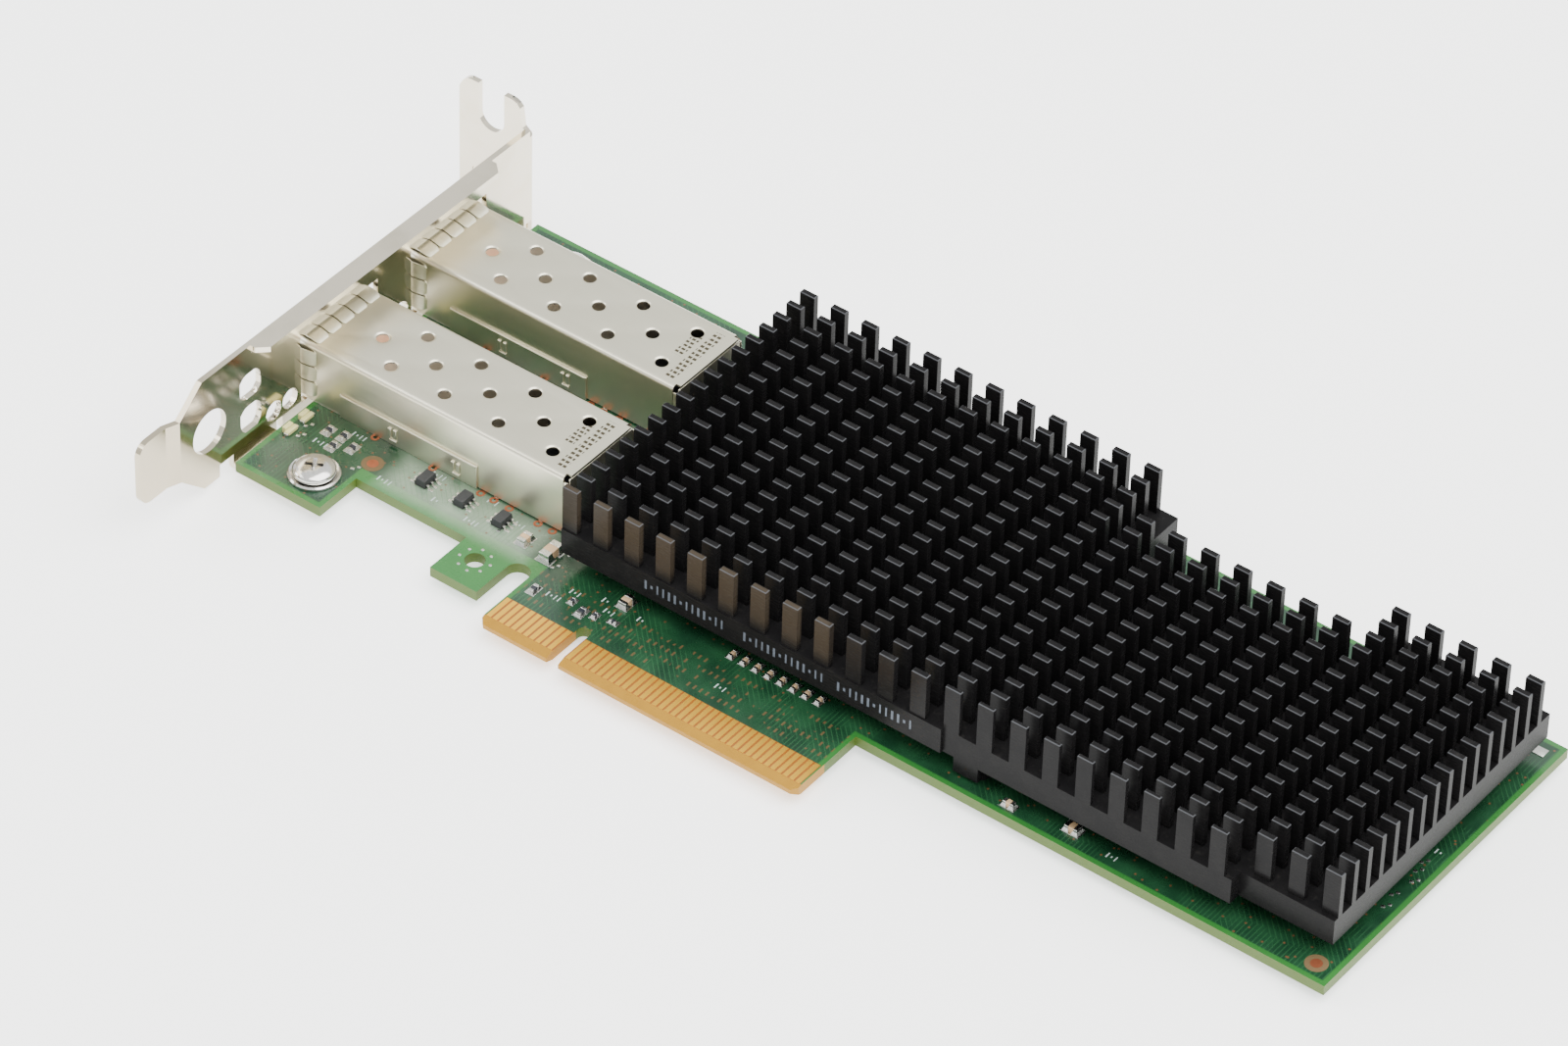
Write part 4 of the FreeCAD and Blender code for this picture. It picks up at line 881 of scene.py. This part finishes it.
def turned(shape, centre, profile, sides=40):
    """Turns a profile of radius and height pairs round an upright line."""
    rings = [shape.verts.new((centre[0] + radius, centre[1], height))
             for radius, height in profile]
    edges = [shape.edges.new(pair) for pair in zip(rings, rings[1:])]
    bmesh.ops.spin(shape, geom=rings + edges, cent=(centre[0], centre[1], 0), axis=(0, 0, 1),
                   angle=math.tau, steps=sides, use_merge=True)
    bmesh.ops.remove_doubles(shape, verts=shape.verts, dist=1e-4)


HEAD_RADIUS, SHANK_RADIUS = 2.95, 1.42
HEAD_LOWERED = 0.9
HEAD_RIM, HEAD_FLAT = 0.35, 1.15
CROWN_STEPS = 8
TURNED_BREAK = 0.12


def build_bracket_screws(material):
    """Pan heads with a rounded crown and a cross recess, on plain shanks."""
    node = "bracket_screws"
    bottom, top = low(node).z, high(node).z - HEAD_LOWERED
    seat = high("bracket_screw_washers").z
    rim = seat + HEAD_RIM
    profile = [(0, bottom), (SHANK_RADIUS - 0.35, bottom), (SHANK_RADIUS, bottom + 0.35),
               (SHANK_RADIUS, seat), (HEAD_RADIUS - TURNED_BREAK, seat),
               (HEAD_RADIUS, seat + TURNED_BREAK)]
    for step in range(CROWN_STEPS):
        turn = step / CROWN_STEPS * math.pi / 2
        profile.append((HEAD_FLAT + (HEAD_RADIUS - HEAD_FLAT) * math.cos(turn),
                        rim + (top - rim) * math.sin(turn)))
    profile += [(HEAD_FLAT, top), (0.0, top)]
    shape = bmesh.new()
    for centre in middles(node):
        turned(shape, centre, profile)
    piece = publish(shape, "bracket_pan_screws", material, "screw_steel", node, smooth=40)
    cut_cross_recess(piece, middles(node), top)
    return piece


def cut_cross_recess(piece, centres, top):
    """Takes a cross out of each head, tapered towards its foot."""
    slot = (3.3, 0.75, 1.9)
    raised, turned_by, taper = 0.15, 0.5, 0.45
    shape = bmesh.new()
    for centre in centres:
        for turn in (turned_by, turned_by + math.pi / 2):
            made = add_block(shape, (centre.x, centre.y, top - raised), slot, turn)
            for vert in made:
                if vert.co.z < top - raised:
                    vert.co.x = centre.x + (vert.co.x - centre.x) * taper
                    vert.co.y = centre.y + (vert.co.y - centre.y) * taper
    cutter = as_object(shape, "cross_cutter")
    cut = piece.modifiers.new("recess", "BOOLEAN")
    cut.operation = "DIFFERENCE"
    cut.solver = "EXACT"
    cut.use_self = True
    cut.object = cutter
    bpy.context.view_layer.update()
    cleaned = piece.evaluated_get(bpy.context.evaluated_depsgraph_get())
    piece.data = bpy.data.meshes.new_from_object(cleaned)
    piece.modifiers.clear()
    piece.data.set_sharp_from_angle(angle=math.radians(40))
    bpy.data.objects.remove(cutter)


def build_washers(material):
    """Washers with a raised lip round their upper edge."""
    node = "bracket_screw_washers"
    bottom, top = low(node).z, high(node).z
    outer, inner = 3.58, 1.5
    lip, slope = 0.2, 0.25
    floor = top - TURNED_BREAK
    profile = [(inner, bottom), (outer - TURNED_BREAK, bottom), (outer, bottom + TURNED_BREAK),
               (outer, top - lip), (outer - lip, top), (outer - lip - slope, floor),
               (inner, floor), (inner, bottom)]
    shape = bmesh.new()
    for centre in middles(node):
        turned(shape, centre, profile)
    return publish(shape, "bracket_washers", material, "screw_steel", node, smooth=40)


# ------------------------------------------------------------------ heatsink

LEG_PLACE, LEG_LENGTHS = (54.8, SINK_LOW.y + 2.1, 1.85), (3.8, 3.2, 2.3)


def build_heatsink(material):
    """The comb of fins with a fine break on every upper edge, and a leg under its front."""
    shape = cad_copy("heatsink")
    crowns = [edge for edge in sharp_edges(shape)
              if all(vert.co.z > SINK_HIGH.z - 0.01 for vert in edge.verts)]
    ease(shape, 0.11, crowns, segments=1)
    for face in shape.faces:
        face.smooth = False
    add_block(shape, LEG_PLACE, LEG_LENGTHS)
    return publish(shape, "heatsink_comb", material, "heatsink_black", "heatsink", smooth=0)


def add_strokes(shape, start, end, pitch, tall, place, share, thick, flat):
    """A row of plain strokes of uneven size, along X. Flat ones lie on the board, and the
    others stand on a front face."""
    for step in range(int((end - start) / pitch)):
        rhythm = (step * 7) % 5
        length = pitch * (0.45 if rhythm in (1, 4) else 0.62) * share
        rise = tall * (0.35 if rhythm == 2 else 1.0)
        add_block(shape, (start + (step + 0.5) * pitch, *place),
                  (length, rise, thick) if flat else (length, thick, rise))


def build_heatsink_marks(material):
    """Three groups of plain printed strokes on the heatsink's front."""
    shape = bmesh.new()
    thick, level = 0.012, 5.1
    for start, end in ((3.5, 17.5), (19.5, 33.0), (34.5, 47.5)):
        add_strokes(shape, start, end, 0.95, 1.45, (SINK_LOW.y - thick / 3, level), 0.6, thick,
                    flat=False)
    return publish(shape, "heatsink_strokes", material, "heatsink_black", smooth=0)


# ------------------------------------------------------------------ small parts

LOGIC_LENGTHS = (1.75, 2.6, 1.1)
LOGIC_STANDOFF = 0.1
LEAD_PITCH = 0.85
LEAD_WIDTH = 0.36
# A gull-wing lead's blocks, from the body down to the land: how far out each lies, its
# level, its length and its height.
LEAD_BLOCKS = ((0.12, 0.52, 0.3, 0.12), (0.3, 0.3, 0.12, 0.54), (0.52, 0.07, 0.5, 0.13))
LAND_REACH, LAND_LENGTHS = 0.6, (0.8, 0.42, 0.05)


def build_logic_chips(body_material, lead_material):
    """Small moulded packages with three gull-wing leads on each side."""
    bodies = bmesh.new()
    leads = bmesh.new()
    length, height = LOGIC_LENGTHS[0], LOGIC_LENGTHS[2]
    for centre in middles("logic_chips"):
        made = add_block(bodies, (centre.x, centre.y, height / 2 + LOGIC_STANDOFF), LOGIC_LENGTHS)
        for vert in made:
            if vert.co.z > height / 2:
                vert.co.x += (centre.x - vert.co.x) * 0.14
                vert.co.y += (centre.y - vert.co.y) * 0.1
        for way in (-1, 1):
            side = centre.x + way * length / 2
            for step in (-1, 0, 1):
                along = centre.y + step * LEAD_PITCH
                for reach, level, deep, tall in LEAD_BLOCKS:
                    add_block(leads, (side + way * reach, along, level), (deep, LEAD_WIDTH, tall))
                add_block(leads, (side + way * LAND_REACH, along, LAND_LENGTHS[2] / 2),
                          LAND_LENGTHS)
    ease(bodies, 0.07)
    publish(bodies, "logic_chip_bodies", body_material, "package_black", "logic_chips", smooth=0)
    ease(leads, 0.03, segments=1)
    publish(leads, "logic_chip_wings", lead_material, "solder_tin", "logic_chip_leads", smooth=0)


LENS_DEPTH, LENS_HEIGHT = 0.7, 0.95
BASE_HEIGHT = 0.6
LIGHT_END = (0.72, 0.36, 0.48)


def build_link_lights(resin, lead_material):
    """Side-looking lights: a lens block in front of a lower, wider base with soldered ends."""
    lights = bmesh.new()
    ends = bmesh.new()
    for near, far in islands("link_lights"):
        middle = (near.y + far.y) / 2
        width = far.y - near.y - 0.5
        lens, base = near.x + 0.75, near.x + 1.35
        add_block(lights, (lens, middle, LENS_HEIGHT / 2), (LENS_DEPTH, width - 0.5, LENS_HEIGHT))
        add_block(lights, (base, middle, BASE_HEIGHT / 2), (LENS_DEPTH, width, BASE_HEIGHT))
        for way in (-1, 1):
            add_block(ends, (base, middle + way * width / 2, LIGHT_END[2] / 2), LIGHT_END)
    ease(lights, 0.1)
    ease(ends, 0.08)
    publish(lights, "link_light_blocks", resin, "light_resin", "link_lights", smooth=0)
    publish(ends, "link_light_ends", lead_material, "solder_tin", smooth=0)


LAND_HEIGHT = 0.04


def build_solder(material):
    """Solder that climbs from the lands to the ends of the chip parts."""
    shape = bmesh.new()
    for node in ("chip_capacitor_ends", "chip_resistor_ends"):
        for near, far in islands(node):
            middle = (near + far) / 2
            size = far - near
            spread = 0.28 + 0.25 * size.z
            climb = size.z * 0.6
            width, length = size.x + spread, size.y + spread
            made = add_block(shape, (middle.x, middle.y, climb / 2), (width, length, climb))
            for vert in made:
                if vert.co.z > climb / 2:
                    vert.co.x = middle.x + (vert.co.x - middle.x) * size.x / width
                    vert.co.y = middle.y + (vert.co.y - middle.y) * size.y / length
            add_block(shape, (middle.x, middle.y, LAND_HEIGHT / 2),
                      (width + 0.3, length + 0.15, LAND_HEIGHT))
    ease(shape, 0.05)
    publish(shape, "chip_solder", material, "solder_tin", smooth=0)


# ------------------------------------------------------------------ board details

FIDUCIALS = ((-42.2, 15.1), (108.2, 15.5))
FIDUCIAL_RADIUS = 0.8
COPPER_HEIGHT = 0.03
# Where the lands of the cages' tails lie, from the bracket on, and their two rows.
TAIL_LANDS = (-45.3, -35.5, -27.4, -25.2, -22.6, -17.8, -15.4)
TAIL_LAND_ROWS = (19.37, 42.45)
RETENTION_HOLE = (-19.7, 8.65)


def build_copper(material):
    """Bare fiducials, and copper lands round the cages' tails."""
    shape = bmesh.new()
    for across, along in FIDUCIALS:
        add_ring(shape, (across, along, 0), FIDUCIAL_RADIUS, 0, COPPER_HEIGHT)
    for across in TAIL_LANDS:
        for along in TAIL_LAND_ROWS:
            add_ring(shape, (across, along, 0), 0.62, 0.3, COPPER_HEIGHT)
    return publish(shape, "copper_lands", material, "contact_gold", smooth=0)


def build_clearings(material):
    """Bare laminate rings round the fiducials."""
    shape = bmesh.new()
    for across, along in FIDUCIALS:
        add_ring(shape, (across, along, 0), 1.55, FIDUCIAL_RADIUS, 0.012)
    return publish(shape, "fiducial_clearings", material, "board", smooth=0)


# Where pairs of small tinned lands lie, by the first of each pair.
PAD_PAIRS = (
    (109.0, 29.0), (108.6, 31.4), (109.3, 34.9), (108.6, 36.8), (108.3, 38.6), (-53.9, 15.4),
    (-53.4, 13.2), (-43.6, 12.6), (-20.9, 15.0), (-11.0, 13.8), (-10.6, 17.0),
)


def build_tinned_pads(material):
    """Small tinned lands: round the retention hole, beside the chip parts, at the far edge."""
    shape = bmesh.new()
    count, reach, height = 8, 2.25, 0.12
    for step in range(count):
        turn = step / count * math.tau + 0.2
        place = (RETENTION_HOLE[0] + reach * math.cos(turn),
                 RETENTION_HOLE[1] + reach * math.sin(turn), 0)
        add_ring(shape, place, 0.24, 0, 0.05, sides=12)
    for across, along in PAD_PAIRS:
        add_block(shape, (across, along, height / 2), (0.55, 0.4, height), 0.4)
        add_block(shape, (across + 0.5, along + 0.75, height / 2), (0.5, 0.4, height), 0.2)
    add_block(shape, (108.4, 65.0, height / 2), (2.4, 1.5, height))
    ease(shape, 0.04, [edge for edge in sharp_edges(shape)
                       if min(vert.co.z for vert in edge.verts) > 0.04])
    return publish(shape, "tinned_pads", material, "solder_tin", smooth=40)


# Where rows of plain printed strokes lie on the board: each row's middle and its length.
PRINTED_ROWS = (
    (-38.6, 13.4, 3.0), (-33.8, 18.6, 2.6), (-31.0, 14.6, 1.7), (-24.9, 19.0, 2.2),
    (-24.6, 14.2, 3.0), (-19.4, 17.6, 2.0), (-7.3, 9.5, 2.6), (-5.3, 11.8, 2.4),
    (0.4, 11.6, 2.4), (-1.3, 13.1, 1.8), (4.4, 13.0, 1.6), (20.2, 9.2, 2.0),
    (-50.2, 14.0, 2.6), (-47.0, 18.2, 2.6), (77.6, 15.1, 2.2), (104.6, 46.0, 2.0),
    (109.2, 41.5, 1.8),
)


def build_printed_marks(material):
    """Plain white strokes where a board carries its printed legends."""
    shape = bmesh.new()
    thick = 0.016
    for across, along, length in PRINTED_ROWS:
        add_strokes(shape, across - length / 2, across + length / 2, 0.62, 0.9,
                    (along, thick / 2), 0.5, thick, flat=True)
    return publish(shape, "printed_strokes", material, "board", smooth=0)


# ------------------------------------------------------------------ stage

def build_floor(level):
    shape = bmesh.new()
    bmesh.ops.create_grid(shape, x_segments=1, y_segments=1, size=4000)
    bmesh.ops.translate(shape, vec=(0, 0, level), verts=shape.verts)
    finish = Finish("pale_floor", roughness=0.75, Emission_Strength=1.3)
    cloud = finish.noise(0.01, 2)
    tone = finish.blend(colour(249, 249, 248), colour(245, 245, 244), cloud)
    finish.set(Base_Color=tone, Emission_Color=tone)
    floor = as_object(shape, "floor")
    floor.data.materials.append(finish.material)


def add_area_light(name, place, target, width, height, power):
    lamp = bpy.data.lights.new(name, "AREA")
    lamp.shape = "RECTANGLE"
    lamp.size = width
    lamp.size_y = height
    lamp.energy = power
    light = bpy.data.objects.new(name, lamp)
    light.location = place
    aim = Vector(target) - Vector(place)
    light.rotation_euler = aim.to_track_quat("-Z", "Y").to_euler()
    bpy.context.scene.collection.objects.link(light)


def build_lights():
    centre = (0.03, 0.035, 0.0)
    add_area_light("overhead", (0.5, 0.1, 1.2), centre, 1.6, 1.4, 38)
    add_area_light("left_side", (-0.9, -0.4, 0.7), centre, 0.8, 0.8, 9)
    world = bpy.data.worlds.new("pale_room")
    world.use_nodes = True
    background = world.node_tree.nodes["Background"]
    background.inputs["Color"].default_value = (0.93, 0.95, 0.95, 1)
    background.inputs["Strength"].default_value = 1.5
    bpy.context.scene.world = world


def build_camera():
    """A long lens, looking down over the bracket's lower corner."""
    lens = bpy.data.cameras.new("camera")
    lens.sensor_width = 36.0
    lens.lens = 184.4
    lens.clip_end = 20.0
    camera = bpy.data.objects.new("camera", lens)
    right = Vector((0.79519259, 0.60589556, 0.02364979))
    down = Vector((0.41442646, -0.51460488, -0.75062142))
    ahead = Vector((-0.4426279, 0.60668969, -0.66030914))
    turn = Matrix((right, -down, -ahead)).transposed().to_4x4()
    camera.matrix_world = Matrix.Translation(Vector((472.097, -597.590, 693.579)) * MM) @ turn
    bpy.context.scene.collection.objects.link(camera)
    bpy.context.scene.camera = camera


# ------------------------------------------------------------------ put together

MASK = solder_mask()
GOLD = gold_plate()
BRIGHT = bright_nickel()
CAGE = satin_nickel("satin_nickel", False)
CAGE_MARKED = satin_nickel("satin_nickel_marked", True)
SPRING = spring_nickel()
ZINC = zinc_plate()
BLACK = black_anodised()
TIN = solder_tin()
COPPER = bare_copper()
HOUSING = moulded("black_moulding", (20, 20, 21), (34, 34, 35), 0.45)
PACKAGE = moulded("chip_moulding", (32, 33, 34), (52, 53, 54), 0.5)
CERAMIC = moulded("capacitor_ceramic", (176, 142, 104), (206, 176, 138), 0.4)
FILM = moulded("resistor_glaze", (24, 26, 30), (46, 50, 58), 0.25)
RESIN = moulded("light_resin", (188, 182, 116), (214, 208, 150), 0.2)
PAD = moulded("thermal_pad", (150, 152, 156), (176, 178, 180), 0.7)
LAMINATE = moulded("bare_laminate", (84, 66, 42), (104, 84, 52), 0.6)
WHITE_INK = mark_ink("white_print", (196, 208, 204))
GREY_INK = mark_ink("grey_print", (92, 100, 112))


def repaint(node, material):
    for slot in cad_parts[node].material_slots:
        slot.material = material


repaint("circuit_board", MASK)
build_bracket(BRIGHT)
for side in ("component", "solder"):
    repaint("edge_contacts_%s_side" % side, GOLD)
for port in PORTS:
    build_cage_shell(port, CAGE_MARKED)
    build_cage_base(port, CAGE)
    build_spring_collar(port, SPRING)
    eased_node(port + "_connector_housing", 0.15, HOUSING, "connector_black")
    repaint(port + "_connector_leads", TIN)
build_bracket_screws(ZINC)
build_washers(ZINC)
build_heatsink(BLACK)
build_heatsink_marks(GREY_INK)
eased_node("heatsink_screws", 0.2, ZINC, "screw_steel")
eased_node("controller_chip", 0.15, PACKAGE, "package_black")
repaint("thermal_pad", PAD)
for node in ("memory_chip", "power_inductors"):
    eased_node(node, 0.1, PACKAGE, "package_black")
eased_node("memory_chip_leads", 0.05, TIN, "solder_tin")
build_logic_chips(PACKAGE, TIN)
eased_node("clock_crystal", 0.15, ZINC, "screw_steel")
build_link_lights(RESIN, TIN)
build_solder(TIN)
eased_node("chip_capacitors", 0.07, CERAMIC, "capacitor_ceramic")
eased_node("chip_resistors", 0.05, FILM, "resistor_film")
for kind in ("capacitor", "resistor"):
    eased_node("chip_%s_ends" % kind, 0.07, TIN, "solder_tin")
build_copper(COPPER)
build_clearings(LAMINATE)
build_tinned_pads(TIN)
build_printed_marks(WHITE_INK)
build_floor(CAD_BOX[0].z / MM)
build_lights()
build_camera()
